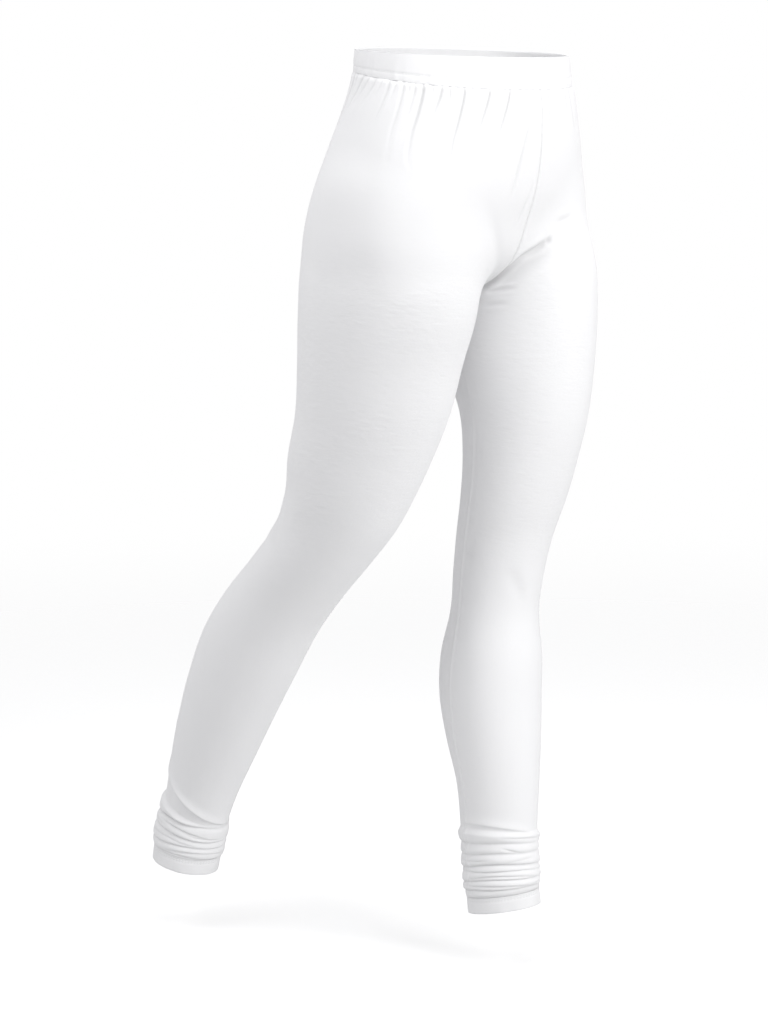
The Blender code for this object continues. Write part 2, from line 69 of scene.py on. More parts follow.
legs = {
    "right": {
        "side": -1, "hem": -0.913, "turn": 1.0,    # turn: degrees that the hem is tipped off square
        # in millimetres: height, distance from the middle plane, depth, reach outwards, inwards, forwards, backwards
        "sections": (
            (-60, 76, 20, 40, 40, 40, 40), (-110, 82, 22, 75, 60, 70, 80), (-160, 86, 24, 84, 74, 94, 104),
            (-210, 88, 28, 88, 82, 102, 107), (-260, 89, 34, 88, 83, 101, 103), (-310, 88, 44, 85, 81, 93, 95),
            (-370, 86, 58, 80, 78, 87, 87), (-415, 85, 74, 75, 74, 82, 84), (-460, 84, 90, 69, 67, 74, 75),
            (-500, 83, 112, 62, 61, 71, 74), (-540, 82, 146, 58, 57, 70, 75), (-580, 79, 183, 56, 55, 68, 78),
            (-620, 75, 216, 56, 55, 65, 78), (-690, 70, 260, 53, 52, 62, 70), (-740, 66, 287, 49, 48, 57, 63),
            (-793, 61, 313, 44, 43, 50, 55), (-845, 57, 337, 39, 38, 43, 46), (-872, 55, 350, 38, 37, 43, 45),
            (-940, 55, 366, 37, 36, 41, 42),
        ),
    },
    "left": {
        "side": 1, "hem": -0.925, "turn": 5.0,
        "sections": (
            (-60, 76, 4, 40, 40, 40, 40), (-110, 82, 4, 74, 60, 70, 80), (-160, 86, 3, 83, 74, 89, 105),
            (-210, 87, 0, 86, 80, 101, 110), (-260, 87, -5, 85, 80, 99, 104), (-310, 86, -12, 82, 78, 90, 92),
            (-380, 84, -22, 73, 68, 73, 71), (-426, 83, -20, 67, 64, 64, 65), (-472, 82, -13, 61, 60, 58, 61),
            (-518, 80, -2, 55, 54, 53, 56), (-564, 78, 5, 51, 50, 50, 53), (-600, 76, 8, 50, 49, 49, 51),
            (-656, 73, 6, 54, 53, 53, 66), (-700, 70, 4, 54, 53, 53, 68), (-748, 67, 0, 50, 49, 52, 61),
            (-800, 64, -6, 44, 43, 48, 50), (-861, 61, -10, 39, 38, 45, 46), (-907, 60, -14, 38, 37, 44, 44),
            (-960, 60, -20, 38, 37, 44, 44),
        ),
    },
}

for leg in legs.values():
    leg["sections"] = 0.001 * np.array(leg["sections"])

# How the rings of a panel lie, from the waist seam to the hem.
ringLie = {
    "riseCentre": (0.012, -0.115),    # depth and height of the point that the rise seam goes round
    "seamTurn": 150.0, "seamSteps": 241,     # degrees round it that the rise seam covers
    "sideSpan": 0.170,      # middle plane to the side of the hips
    "edgeCrowding": 0.17,   # how much closer the columns lie beside the rise seam
    "crotchRoll": 27.0,     # degrees that the crotch ring rises outwards
    "crotchReach": 0.099,   # how far out the crotch ring's middle lies
    "earlyReach": 0.25,     # share of that reach that grows evenly from the waist
    "crotchFade": 0.160,    # length in which the rings settle square across the leg
    "crotchChord": 0.02,    # share of the rise seam that gives the crotch ring's pitch
    "axisStep": 0.004,      # half the height over which a leg's lean is taken
    "trackPast": 0.03, "trackSteps": 400,    # how far under the hem seam a leg's axis is followed
    "hemTurnLength": 0.090,
    "rayLength": 0.26, "raySteps": 26, "rayHalvings": 18,
}


# A ramp between two values, level at both ends, from low to 1: the share squared times three less twice the share.
def smoothRamp(values, start, end, low=0.0):
    share = np.clip((values - start) / (end - start), 0.0, 1.0)
    return low + (1 - low) * share * share * (3 - 2 * share)


# A cubic from start to end that leaves and arrives with the given slopes.
def cubicPiece(share, step, start, startSlope, end, endSlope):
    return ((1 + 2 * share) * (1 - share) ** 2 * start + share * (1 - share) ** 2 * step * startSlope
            + share ** 2 * (3 - 2 * share) * end + share ** 2 * (share - 1) * step * endSlope)


# How far along a line of points each of them lies: the sum of the steps before it.
def lengthsAlong(line):
    return np.concatenate([[0.0], np.cumsum(np.linalg.norm(np.diff(line, axis=0), axis=1))])


# Each column of a list of points read at these lengths along it.
def readAlong(places, lengths, line):
    return np.stack([np.interp(places, lengths, line[:, axis]) for axis in range(3)], axis=-1)


# Vectors made one long.
def unit(vectors):
    return vectors / np.linalg.norm(vectors, axis=-1, keepdims=True)


# A table read at any heights: cubic pieces through its rows, with the slopes between their neighbours.
def readTable(rows, heights):
    table = np.array(rows)
    knots = -table[:, 0]
    slopes = np.gradient(table[:, 1:], knots, axis=0)
    falls = np.clip(-np.asarray(heights), knots[0], knots[-1])
    low = np.clip(np.searchsorted(knots, falls, side="right") - 1, 0, len(knots) - 2)
    step = (knots[low + 1] - knots[low])[..., None]
    share = (falls - knots[low])[..., None] / step
    return cubicPiece(share, step, table[low, 1:], slopes[low], table[low + 1, 1:], slopes[low + 1])


# Signed level distance from a superellipse: the distance from its middle, less its reach in that direction.
def levelDistance(across, along, reachAcross, reachAlong, squareness=2.0):
    across = np.where(np.abs(across) < tiny, tiny, across)
    ratio = np.abs(across / reachAcross) ** squareness + np.abs(along / reachAlong) ** squareness
    return np.hypot(across, along) * (1 - ratio ** (-1 / squareness))


# The lesser of two distances. Where they differ by less than the rounding they are mixed by a share, and the rounding
# times that share times one less it is taken off.
def roundUnion(first, second, rounding):
    share = np.clip(0.5 + 0.5 * (second - first) / rounding, 0.0, 1.0)
    return second + (first - second) * share - rounding * share * (1 - share)


# Distance from the hips: the greater of that from their side and that down from the seat's level, rounded.
def hipDistance(points):
    middle, halfWidth, front, back, squareness = np.moveaxis(readTable(hipForm["sections"], points[..., 2]), -1, 0)
    along = points[..., 1] - middle
    side = levelDistance(points[..., 0], along, halfWidth, np.where(along < 0, front, back), squareness)
    return -roundUnion(-side, points[..., 2] - hipForm["floor"], hipForm["floorRound"])


# Distance from a leg: that from its section at the same height, whose four reaches may all differ.
def limbDistance(leg, points):
    section = readTable(leg["sections"], points[..., 2])
    middle, depth, outside, inside, front, back = np.moveaxis(section, -1, 0)
    across = points[..., 0] * leg["side"] - middle
    along = points[..., 1] - depth
    reachAcross = np.where(across > 0, outside, inside)
    return levelDistance(across, along, reachAcross, np.where(along < 0, front, back))


# Distance from the whole form, under 0 inside it: the least of those from the legs and the hips, rounded.
def formDistance(points):
    both = roundUnion(limbDistance(legs["right"], points), limbDistance(legs["left"], points), hipForm["forkBlend"])
    return roundUnion(hipDistance(points), both, hipForm["bodyBlend"])


# The form's outward direction: the slope of its distance along each axis, made one long.
def formDirection(points):
    steps = hipForm["slopeStep"] * np.eye(3)
    return unit(np.stack([formDistance(points + step) - formDistance(points - step) for step in steps], axis=-1))


# Where each ray first leaves the form, within its limit: even steps find the stretch, and halvings of it the place.
def castRays(start, heading, limit):
    shares = np.linspace(0.0, 1.0, ringLie["raySteps"] + 1)[1:]
    limit = np.broadcast_to(limit, heading.shape[:-1])
    first = np.full(limit.shape, len(shares) - 1)
    waiting = np.ones(limit.shape, bool)
    for number, share in enumerate(shares):
        out = waiting & (formDistance(start + (share * limit)[..., None] * heading) > 0)
        first[out] = number
        waiting &= ~out
        if not waiting.any():
            break
    far = shares[first] * limit
    near = far - limit / len(shares)
    for halving in range(ringLie["rayHalvings"]):
        middle = 0.5 * (near + far)
        inside = formDistance(start + middle[..., None] * heading) < 0
        near = np.where(inside, middle, near)
        far = np.where(inside, far, middle)
    return start + far[..., None] * heading


# Outward and backward directions of a ring: pitched about X, then rolled so that its outer side rises.
def ringAxes(side, pitch, roll):
    pitch, roll = np.broadcast_arrays(pitch, roll)
    back = np.stack([np.zeros_like(pitch), np.cos(pitch), np.sin(pitch)], axis=-1)
    up = np.stack([np.zeros_like(pitch), -np.sin(pitch), np.cos(pitch)], axis=-1)
    return np.cos(roll)[..., None] * np.array([side, 0.0, 0.0]) + np.sin(roll)[..., None] * up, back


# Points of rings, where rays from their middles leave the form. Column 0 is the front of the opening or the inseam,
# 0.25 the front, 0.5 the outside, 0.75 the back and 1 the end. The columns grow evenly but for a sine, which crowds
# them beside the opening. A one-sided ring stops at the middle plane.
def ringPoints(side, middle, pitch, roll, opening, columns, oneSide=True):
    out, back = ringAxes(side, pitch, roll)
    crowding = ringLie["edgeCrowding"] * opening / (math.pi / 2)
    share = columns + crowding * np.sin(fullTurn * columns) / fullTurn
    angle = opening + share * (fullTurn - 2 * opening)
    heading = -np.cos(angle)[..., None] * out - np.sin(angle)[..., None] * back
    limit = ringLie["rayLength"]
    if oneSide:
        inward = -heading[..., 0] * side
        limit = np.where(inward > tiny, np.minimum(limit, np.abs(middle[..., 0]) / np.maximum(inward, tiny)), limit)
    return castRays(middle, heading, limit)


# The front and the back rise seam from the crotch up: where rays in the middle plane leave the form. Each is given as
# its points, their lengths along it and the whole length up to the waistband's foot.
def riseSeam():
    centre = np.array([0.0, *ringLie["riseCentre"]])
    halves = []
    for sign in (-1, 1):
        angle = np.linspace(0.0, math.radians(ringLie["seamTurn"]), ringLie["seamSteps"])
        heading = np.stack([np.zeros_like(angle), sign * np.sin(angle), -np.cos(angle)], axis=-1)
        points = castRays(centre, heading, ringLie["rayLength"])
        lengths = lengthsAlong(points)
        overFoot = points[:, 2] + seamGap - footHeight(points[:, 1])
        halves.append((points, lengths, np.interp(0.0, np.maximum.accumulate(overFoot), lengths)))
    return halves


# Points at these shares of a seam's whole length.
def alongSeam(seam, shares):
    points, lengths, whole = seam
    return readAlong(shares * whole, lengths, points)


# Middles, pitch, roll and opening of the rings from the waist seam, row 0, to the crotch, row 1. A ring's front and
# back lie on the rise seam, and its middle lies between them and further out from row to row.
def riseRings(leg, rows):
    seams = riseSeam()
    front, back = (alongSeam(seam, 1 - rows) for seam in seams)
    nearFront, nearBack = (alongSeam(seam, np.array([ringLie["crotchChord"]])) for seam in seams)
    chord = np.where(rows[:, None] < 1, back - front, nearBack - nearFront)
    pitch = np.arctan2(chord[:, 2], chord[:, 1])
    half = 0.5 * np.linalg.norm(back - front, axis=-1)
    centre = 0.5 * (front + back)
    crotchSide = centre[-1, 2] + ringLie["sideSpan"] * math.tan(math.radians(ringLie["crotchRoll"]))
    sideHeight = centre[0, 2] + rows * (crotchSide - centre[0, 2])
    roll = np.arctan((sideHeight - centre[:, 2]) / ringLie["sideSpan"])
    reach = ringLie["crotchReach"] * rows * (ringLie["earlyReach"] + (1 - ringLie["earlyReach"]) * rows)
    out, back = ringAxes(leg["side"], pitch, roll)
    return centre + reach[:, None] * out, pitch, roll, np.arctan2(half, reach)


# Middle, pitch and roll of the last of a panel's rings over the crotch, which the rings under it start from.
def crotchRing(rings):
    return tuple(value[-1] for value in rings[:3])


# Heights on a leg's axis and how far each lies from the hem seam, measured along the axis.
def legTrack(leg, crotchHeight):
    heights = np.linspace(leg["hem"] - ringLie["trackPast"], crotchHeight, ringLie["trackSteps"])
    section = readTable(leg["sections"], heights)
    lengths = lengthsAlong(np.stack([section[:, 0], section[:, 1], heights], axis=-1))
    return heights, lengths - np.interp(leg["hem"], heights, lengths)


# Middles, pitch and roll of the rings at these distances above the hem seam: square across the leg's axis, and near
# the crotch blended into the crotch ring's lie.
def limbRings(leg, distances, crotch):
    crotchMiddle, crotchPitch, crotchRoll = crotch
    heights, lengths = legTrack(leg, crotchMiddle[2])
    height = np.interp(distances, lengths, heights)

    def axisPoint(level):
        section = readTable(leg["sections"], level)
        return np.stack([leg["side"] * section[..., 0], section[..., 1], level], axis=-1)

    run = axisPoint(height - ringLie["axisStep"]) - axisPoint(height + ringLie["axisStep"])
    turn = np.clip(1 - distances / ringLie["hemTurnLength"], 0.0, 1.0)
    pitch = np.arctan2(run[..., 1], -run[..., 2]) - math.radians(leg["turn"]) * turn
    roll = np.arctan2(leg["side"] * run[..., 0], np.hypot(run[..., 1], run[..., 2]))
    fade = 1 - smoothRamp(lengths[-1] - distances, 0.0, ringLie["crotchFade"])
    pitch = pitch + fade * (crotchPitch - pitch)
    roll = roll + fade * (crotchRoll - roll)
    shift = crotchMiddle - axisPoint(np.asarray(crotchMiddle[2]))
    return axisPoint(height) + fade[..., None] * shift, pitch, roll


# A mesh from places on a grid: numbers tells which vertex each place is, so that closed rings share one, while every
# place keeps its own texture coordinates. Faces are turned outwards by the sign of the volume that they enclose, which
# is the sum of first corner dot (second cross third).
def makeMesh(name, points, numbers, faceGroups, uv, attributes=None):
    corners = points[numbers]
    volume = 0.0
    for group in faceGroups:
        first = corners[group[:, 0]]
        for step in range(1, group.shape[1] - 1):
            crossed = np.cross(corners[group[:, step]], corners[group[:, step + 1]])
            volume += np.einsum("ij,ij->", first, crossed)
    if volume < 0:
        faceGroups = [group[:, ::-1] for group in faceGroups]
    places = np.concatenate([group.ravel() for group in faceGroups])
    sizes = np.concatenate([np.full(len(group), group.shape[1]) for group in faceGroups])
    used, loops = np.unique(numbers[places], return_inverse=True)
    mesh = bpy.data.meshes.new(name)
    mesh.vertices.add(len(used))
    mesh.vertices.foreach_set("co", points[used].ravel())
    mesh.loops.add(len(loops))
    mesh.loops.foreach_set("vertex_index", loops.ravel())
    mesh.polygons.add(len(sizes))
    mesh.polygons.foreach_set("loop_start", np.concatenate([[0], np.cumsum(sizes)[:-1]]))
    layer = mesh.uv_layers.new(name="clothMetres")
    layer.uv.foreach_set("vector", uv[places].ravel().astype(np.float32))
    for label, values in (attributes or {}).items():
        store = mesh.attributes.new(label, "FLOAT", "POINT")
        store.data.foreach_set("value", values[used].astype(np.float32))
    mesh.update(calc_edges=True)
    mesh.validate()
    mesh.shade_smooth()
    piece = bpy.data.objects.new(name, mesh)
    bpy.context.scene.collection.objects.link(piece)
    print(name, "has", len(mesh.polygons), "faces")
    return piece


# Four-cornered faces of grids whose places are numbered row by row.
def gridFaces(grid):
    corners = [grid[..., :-1, :-1], grid[..., 1:, :-1], grid[..., 1:, 1:], grid[..., :-1, 1:]]
    return np.stack(corners, axis=-1).reshape(-1, 4)


# Faces of a rim between a fine line of places and a coarse one that keeps every so many of them.
def rimFaces(fine, coarse, every):
    steps = np.arange(len(coarse) - 1)
    fineCorners = np.stack([fine[steps * every + extra] for extra in range(every + 1)], axis=-1)
    return np.concatenate([fineCorners, coarse[steps + 1][:, None], coarse[steps][:, None]], axis=1)


panel = {
    "wall": 0.0013,
    "columns": 296,
    "riseRows": 76,
    "riseCrowding": 1.12,      # above 1 the rows lie closer together under the waistband
    "crotchRows": 32,
    "crotchSpan": 0.080,       # length under the crotch with close rows
    "shaftRows": 56,
    "ankleRows": 116,
    "ankleSpan": 0.102,
    "innerEveryColumn": 2,     # the inner skin keeps every so many columns and rows
    "innerEveryRow": 4,
    "sewnGap": 0.00006,        # between the two panels at the rise seam
    "overAnkle": 9.0,          # height given to the rows over the crotch, out of the ankle folds' reach
    "droop": 0.42,             # how far a fold hangs down the leg, as a share of how far it stands out
}


# Base points of a panel: rings from the waist seam to the crotch, then rings down the leg to the hem seam. Also each
# place's length of cloth under the waist seam, its height above the hem seam, its level for the crease tables, the
# ring's girth and the direction up the leg.
def panelBase(leg):
    columns = np.linspace(0.0, 1.0, panel["columns"] + 1)
    riseShare = np.linspace(0.0, 1.0, panel["riseRows"] + 1) ** panel["riseCrowding"]
    rise = riseRings(leg, riseShare)
    upper = ringPoints(leg["side"], *(value[:, None] for value in rise), columns[None])
    crotch = crotchRing(rise)
    top = legTrack(leg, crotch[0][2])[1][-1]
    stretches = (
        (top, top - panel["crotchSpan"], panel["crotchRows"]),
        (top - panel["crotchSpan"], panel["ankleSpan"], panel["shaftRows"]),
        (panel["ankleSpan"], seamGap, panel["ankleRows"]),
    )
    distances = np.concatenate([np.linspace(start, end, rows + 1)[1:] for start, end, rows in stretches])[:, None]
    lower = ringPoints(leg["side"], *limbRings(leg, distances, crotch), 0.0, columns[None])
    points = np.concatenate([upper, lower])
    upLeg = unit(-np.gradient(points.mean(axis=1), axis=0))
    return {
        "columns": columns[None],
        "points": points,
        "below": np.cumsum(np.linalg.norm(np.diff(points, axis=0, prepend=points[:1]), axis=-1), axis=0),
        "height": np.concatenate([np.full((len(riseShare), 1), panel["overAnkle"]), distances]),
        "level": np.concatenate([riseShare[:, None] - 1, top - distances]),
        "girth": np.linalg.norm(np.diff(points, axis=1), axis=-1).sum(axis=1)[:, None],
        "upLeg": upLeg[:, None],
    }


# A peak that is 1 at its line, rounded there, and falls away on both sides as e to the power of less the distance.
def softPeak(away, rounding=0.3):
    return np.exp(rounding - np.sqrt(away ** 2 + rounding ** 2))


# Gathers under the waistband: the cloth puffs out from the seam, and soft troughs with low shoulders cut into it.
gathers = {
    "puff": 0.0012,
    "puffFade": 0.034,
    "edge": 0.0040,          # length in which the cloth comes out from under the band
    "atSeam": 0.35,          # share of a trough's depth at the seam
    "reach": 1.25,           # where a trough ends, in lengths
    "fadePower": 0.8,
    "spread": (0.9, 0.3),    # a trough's width at the seam and how much wider it gets, in widths
    "shoulder": 0.30,        # height of the shoulders, as a share of the depth
    "shoulderAt": 2.4,       # and their distance from the trough, in widths
    # in thousandths: column at the seam, drift to the back, length, depth, width
    "right": (
        (10, 6, 50, 0.5, 1.6), (30, 16, 24, 0.6, 1.4), (62, 4, 16, 0.7, 1.4), (86, 6, 26, 0.8, 1.5),
        (108, 7, 14, 1.2, 1.4), (128, 31, 50, 1.7, 1.5), (146, 4, 10, 1, 1.3), (168, 4, 13, 0.9, 1.3),
        (195, 21, 46, 1.7, 1.5), (224, 2, 16, 0.9, 1.4), (246, 4, 12, 0.8, 1.3), (270, 0, 74, 1.6, 1.5),
        (290, 2, 12, 0.9, 1.3), (311, -7, 21, 1.3, 1.4), (331, 3, 34, 1.7, 1.5), (356, -4, 16, 1, 1.4),
        (382, -22, 76, 1.5, 1.8), (405, -10, 36, 1, 1.6), (422, -4, 14, 0.9, 1.4), (439, -30, 74, 0.8, 1.9),
        (460, 4, 22, 0.7, 1.5), (483, -3, 46, 0.8, 1.8), (508, 10, 20, 0.7, 1.5), (532, 22, 30, 0.7, 1.6),
        (561, 30, 28, 0.8, 1.6), (590, 40, 40, 1, 2), (626, 12, 22, 0.8, 1.7), (652, 24, 58, 1, 2.1),
        (690, -8, 24, 0.8, 1.7), (728, 14, 66, 1.1, 2.2), (757, 4, 18, 0.8, 1.6), (786, 6, 32, 0.9, 1.8),
        (828, -18, 54, 1, 2.1), (862, 8, 20, 0.8, 1.6), (896, -6, 62, 1, 2), (930, 6, 26, 0.8, 1.7),
        (958, 10, 40, 0.8, 1.8), (986, 0, 30, 0.6, 1.6),
    ),
    "left": (
        (12, 4, 34, 0.6, 1.6), (38, -10, 60, 0.8, 1.8), (66, 6, 18, 0.6, 1.4), (92, 8, 24, 0.6, 1.5),
        (118, -6, 16, 0.6, 1.4), (144, -5, 40, 0.8, 1.7), (176, 14, 52, 0.9, 1.8), (204, 3, 16, 0.7, 1.4),
        (232, -6, 30, 0.8, 1.6), (268, 12, 78, 1.1, 2.2), (296, 4, 18, 0.7, 1.5), (322, 8, 36, 0.9, 1.7),
        (356, 18, 58, 1, 2), (388, -6, 22, 0.8, 1.6), (420, 6, 26, 0.8, 1.6), (448, 16, 86, 1.1, 2.4),
        (480, 4, 20, 0.8, 1.6), (510, -8, 36, 0.9, 1.8), (545, -14, 62, 1, 2), (578, 10, 22, 0.8, 1.6),
        (606, 4, 30, 0.8, 1.7), (646, 10, 74, 1.1, 2.2), (682, -6, 20, 0.8, 1.6), (712, -10, 36, 0.9, 1.8),
        (748, 16, 50, 1, 2), (784, 4, 20, 0.8, 1.6), (814, -6, 30, 0.8, 1.7), (848, -12, 66, 1, 2.1),
        (884, 6, 22, 0.8, 1.6), (918, 4, 34, 0.8, 1.8), (948, 8, 56, 0.9, 1.9), (980, -4, 24, 0.6, 1.6),
    ),
}


# The puff and the troughs of the gathers. A trough is the depth times a soft peak across, less its shoulders, and
# fades with the share of its length that is still to come.
def gatherLift(base, table):
    below = base["below"]
    out = smoothRamp(below, 0.0, gathers["edge"])
    fromSeam = smoothRamp(below, 0.0, gathers["edge"], gathers["atSeam"])
    narrow, widening = gathers["spread"]
    troughs = 0 * below
    for start, drift, length, depth, width in 0.001 * np.array(table):
        down = below / length
        spread = width * (narrow + widening * np.clip(down, 0.0, 1.0))
        away = (base["columns"] - start - drift * down) * base["girth"] / spread
        fade = np.clip(1 - down / gathers["reach"], 0.0, 1.0) ** gathers["fadePower"] * fromSeam
        shoulders = gathers["shoulder"] * np.exp(-(np.abs(away) - gathers["shoulderAt"]) ** 2)
        troughs = troughs - depth * fade * (softPeak(away) - shoulders)
    return gathers["puff"] * out * np.exp(-(below / gathers["puffFade"]) ** 2), troughs


# Ankle folds. The cloth stands out from the leg by the fullness between an upper line and the hem, and valleys cut
# into it, steeper above than below, so that each roll hangs over the valley under it. In the tables of the two legs
# lengths are in millimetres.
ankleFolds = {
    "atSeam": 0.35,          # share of the fullness left where the hem is sewn on
    "seamRise": 0.0028,      # height over which it grows
    "hemRise": 0.014,
    "waver": (0.0006, 3, 20),      # how far a ring wavers, how many times a turn, and its change with height
    "endPower": 1.2,         # how a short line fades to its ends
    "lipPower": 1.6,
    "right": {
        # top is the upper line: height, slant, column where it is highest
        "fullness": 3.7, "hemShare": 0.55, "top": (51.5, 4.0, 0.62), "topFade": 6.2,
        # height above the hem seam, slant, column where it is highest, depth (1 reaches the leg), share of the depth
        # lost on the shallowest side, column where it is deepest, width above, width below
        "rings": (
            (45.5, 8.5, 0.33, 0.92, 0.30, 0.50, 1.5, 3.4), (28.0, 2.2, 0.50, 0.74, 0.45, 0.42, 1.3, 2.8),
            (15.0, 3.5, 0.27, 0.66, 0.40, 0.38, 1.2, 2.2), (1.6, 1.6, 0.56, 0.70, 0.20, 0.45, 1.1, 1.3),
        ),
        # column, height, slope a turn, bow a turn squared, half length in turns, depth, width above, width below
        "short": (
            (0.450, 41.5, 7, -170, 0.15, 0.66, 1.2, 2.2), (0.540, 49.0, -60, 0, 0.05, 0.50, 1.4, 1.8),
            (0.390, 10.0, -16, -150, 0.22, 0.60, 1.1, 2.0), (0.330, 35.5, 16, 100, 0.11, 0.36, 1.2, 1.8),
            (0.600, 34.5, -30, 0, 0.09, 0.42, 1.2, 2.0), (0.560, 22.5, -20, 0, 0.12, 0.40, 1.2, 2.0),
            (0.440, 22.5, 10, 0, 0.09, 0.30, 1.0, 1.6), (0.800, 50.0, 30, -100, 0.16, 0.66, 1.4, 3.0),
            (0.860, 21.5, -18, 100, 0.17, 0.66, 1.3, 2.6), (0.960, 37.5, 22, -100, 0.15, 0.72, 1.4, 2.8),
            (1.020, 9.0, 12, 100, 0.18, 0.62, 1.2, 2.4), (1.080, 30.0, -10, 0, 0.13, 0.55, 1.3, 2.6),
        ),
        # the same, but the sixth is how far the lip stands out
        "lips": (
            (0.450, 76.0, 95, 60, 0.30, 2.6, 5.5, 1.5), (0.800, 80.0, -50, 0, 0.17, 0.9, 5.0, 2.0),
            (0.360, 56.0, 10, -100, 0.16, 0.7, 1.4, 1.4),
        ),
    },
    "left": {
        "fullness": 3.5, "hemShare": 0.20, "top": (69.0, 3.5, 0.98), "topFade": 6.0,
        "rings": (
            (59.0, 3.0, 0.03, 0.95, 0.45, 0.97, 2.8, 4.6), (48.5, 1.5, 0.08, 0.80, 0.30, 0.04, 2.2, 3.2),
            (32.2, 5.5, 0.06, 0.88, 0.35, 0.06, 1.8, 3.0), (26.5, 4.0, 0.02, 0.64, 0.45, 0.05, 1.0, 1.6),
            (17.0, 3.2, 0.03, 0.74, 0.25, 0.06, 1.0, 1.8), (6.4, 2.8, 0.00, 0.80, 0.25, 0.06, 1.0, 2.0),
        ),
        "short": (
            (1.225, 66.5, -35, 0, 0.13, 0.50, 1.6, 2.8), (1.150, 53.5, -85, 0, 0.045, 0.66, 1.2, 2.0),
            (0.870, 54.0, -30, 0, 0.07, 0.40, 1.4, 2.4), (1.080, 24.8, -6, -170, 0.21, 0.58, 1.0, 1.4),
            (1.080, 13.2, -18, -80, 0.24, 0.62, 1.0, 1.6), (0.960, 42.0, 10, 100, 0.12, 0.46, 1.2, 2.4),
            (1.200, 42.0, 20, 0, 0.09, 0.30, 1.2, 2.0), (0.560, 64.0, 25, 0, 0.17, 0.62, 1.6, 3.4),
            (0.450, 40.0, -15, 100, 0.18, 0.66, 1.4, 3.0), (0.640, 23.0, 18, -100, 0.18, 0.66, 1.3, 2.6),
            (0.380, 12.0, 15, 0, 0.16, 0.60, 1.2, 2.4), (0.700, 52.0, -20, 0, 0.13, 0.55, 1.4, 3.0),
        ),
        "lips": (
            (1.080, 83.0, -30, -180, 0.24, 1.7, 5.5, 2.0), (0.500, 80.0, 40, 0, 0.20, 0.8, 5.0, 2.0),
            (0.950, 4.0, 15, -200, 0.12, 0.9, 2.0, 1.4),
        ),
    },
}


# How far the cloth stands out at an ankle: the fullness times ramps up from the hem and down over the upper line,
# times what each valley leaves, which is one less its depth times a soft peak, and the lips added on.
def ankleLift(base, folds):
    columns, height = base["columns"], base["height"]

    def wave(turn, count=1):
        return np.cos(fullTurn * count * (columns - turn))

    def distance(off, above, below):
        return off / (0.001 * np.where(off > 0, above, below))

    def shortLine(column, middle, slope, bow, half):
        away = (columns - column + 0.5) % 1.0 - 0.5
        ends = np.clip(1 - (away / half) ** 2, 0.0, 1.0) ** ankleFolds["endPower"]
        return height - 0.001 * (middle + slope * away + bow * away ** 2), ends

    middle, slant, turn = folds["top"]
    topLine = 0.001 * (middle + slant * wave(turn))
    fromSeam = smoothRamp(height, 0.0, ankleFolds["seamRise"], ankleFolds["atSeam"])
    fromHem = smoothRamp(height, 0.0, ankleFolds["hemRise"], folds["hemShare"])
    overTop = smoothRamp(height, topLine, topLine + 0.001 * folds["topFade"])
    lift = 0.001 * folds["fullness"] * fromSeam * fromHem * (1 - overTop)
    size, count, change = ankleFolds["waver"]
    for middle, slant, turn, depth, loss, deepest, above, below in folds["rings"]:
        waver = size * wave(deepest - 0.001 * middle * change, count)
        off = height - 0.001 * (middle + slant * wave(turn)) - waver
        there = 1 - loss * (0.5 - 0.5 * wave(deepest))
        lift = lift * (1 - depth * there * softPeak(distance(off, above, below)))
    for *line, depth, above, below in folds["short"]:
        off, ends = shortLine(*line)
        lift = lift * (1 - depth * ends * softPeak(distance(off, above, below)))
    for *line, out, above, below in folds["lips"]:
        off, ends = shortLine(*line)
        lift = lift + 0.001 * out * ends * np.exp(-np.abs(distance(off, above, below)) ** ankleFolds["lipPower"])
    return lift


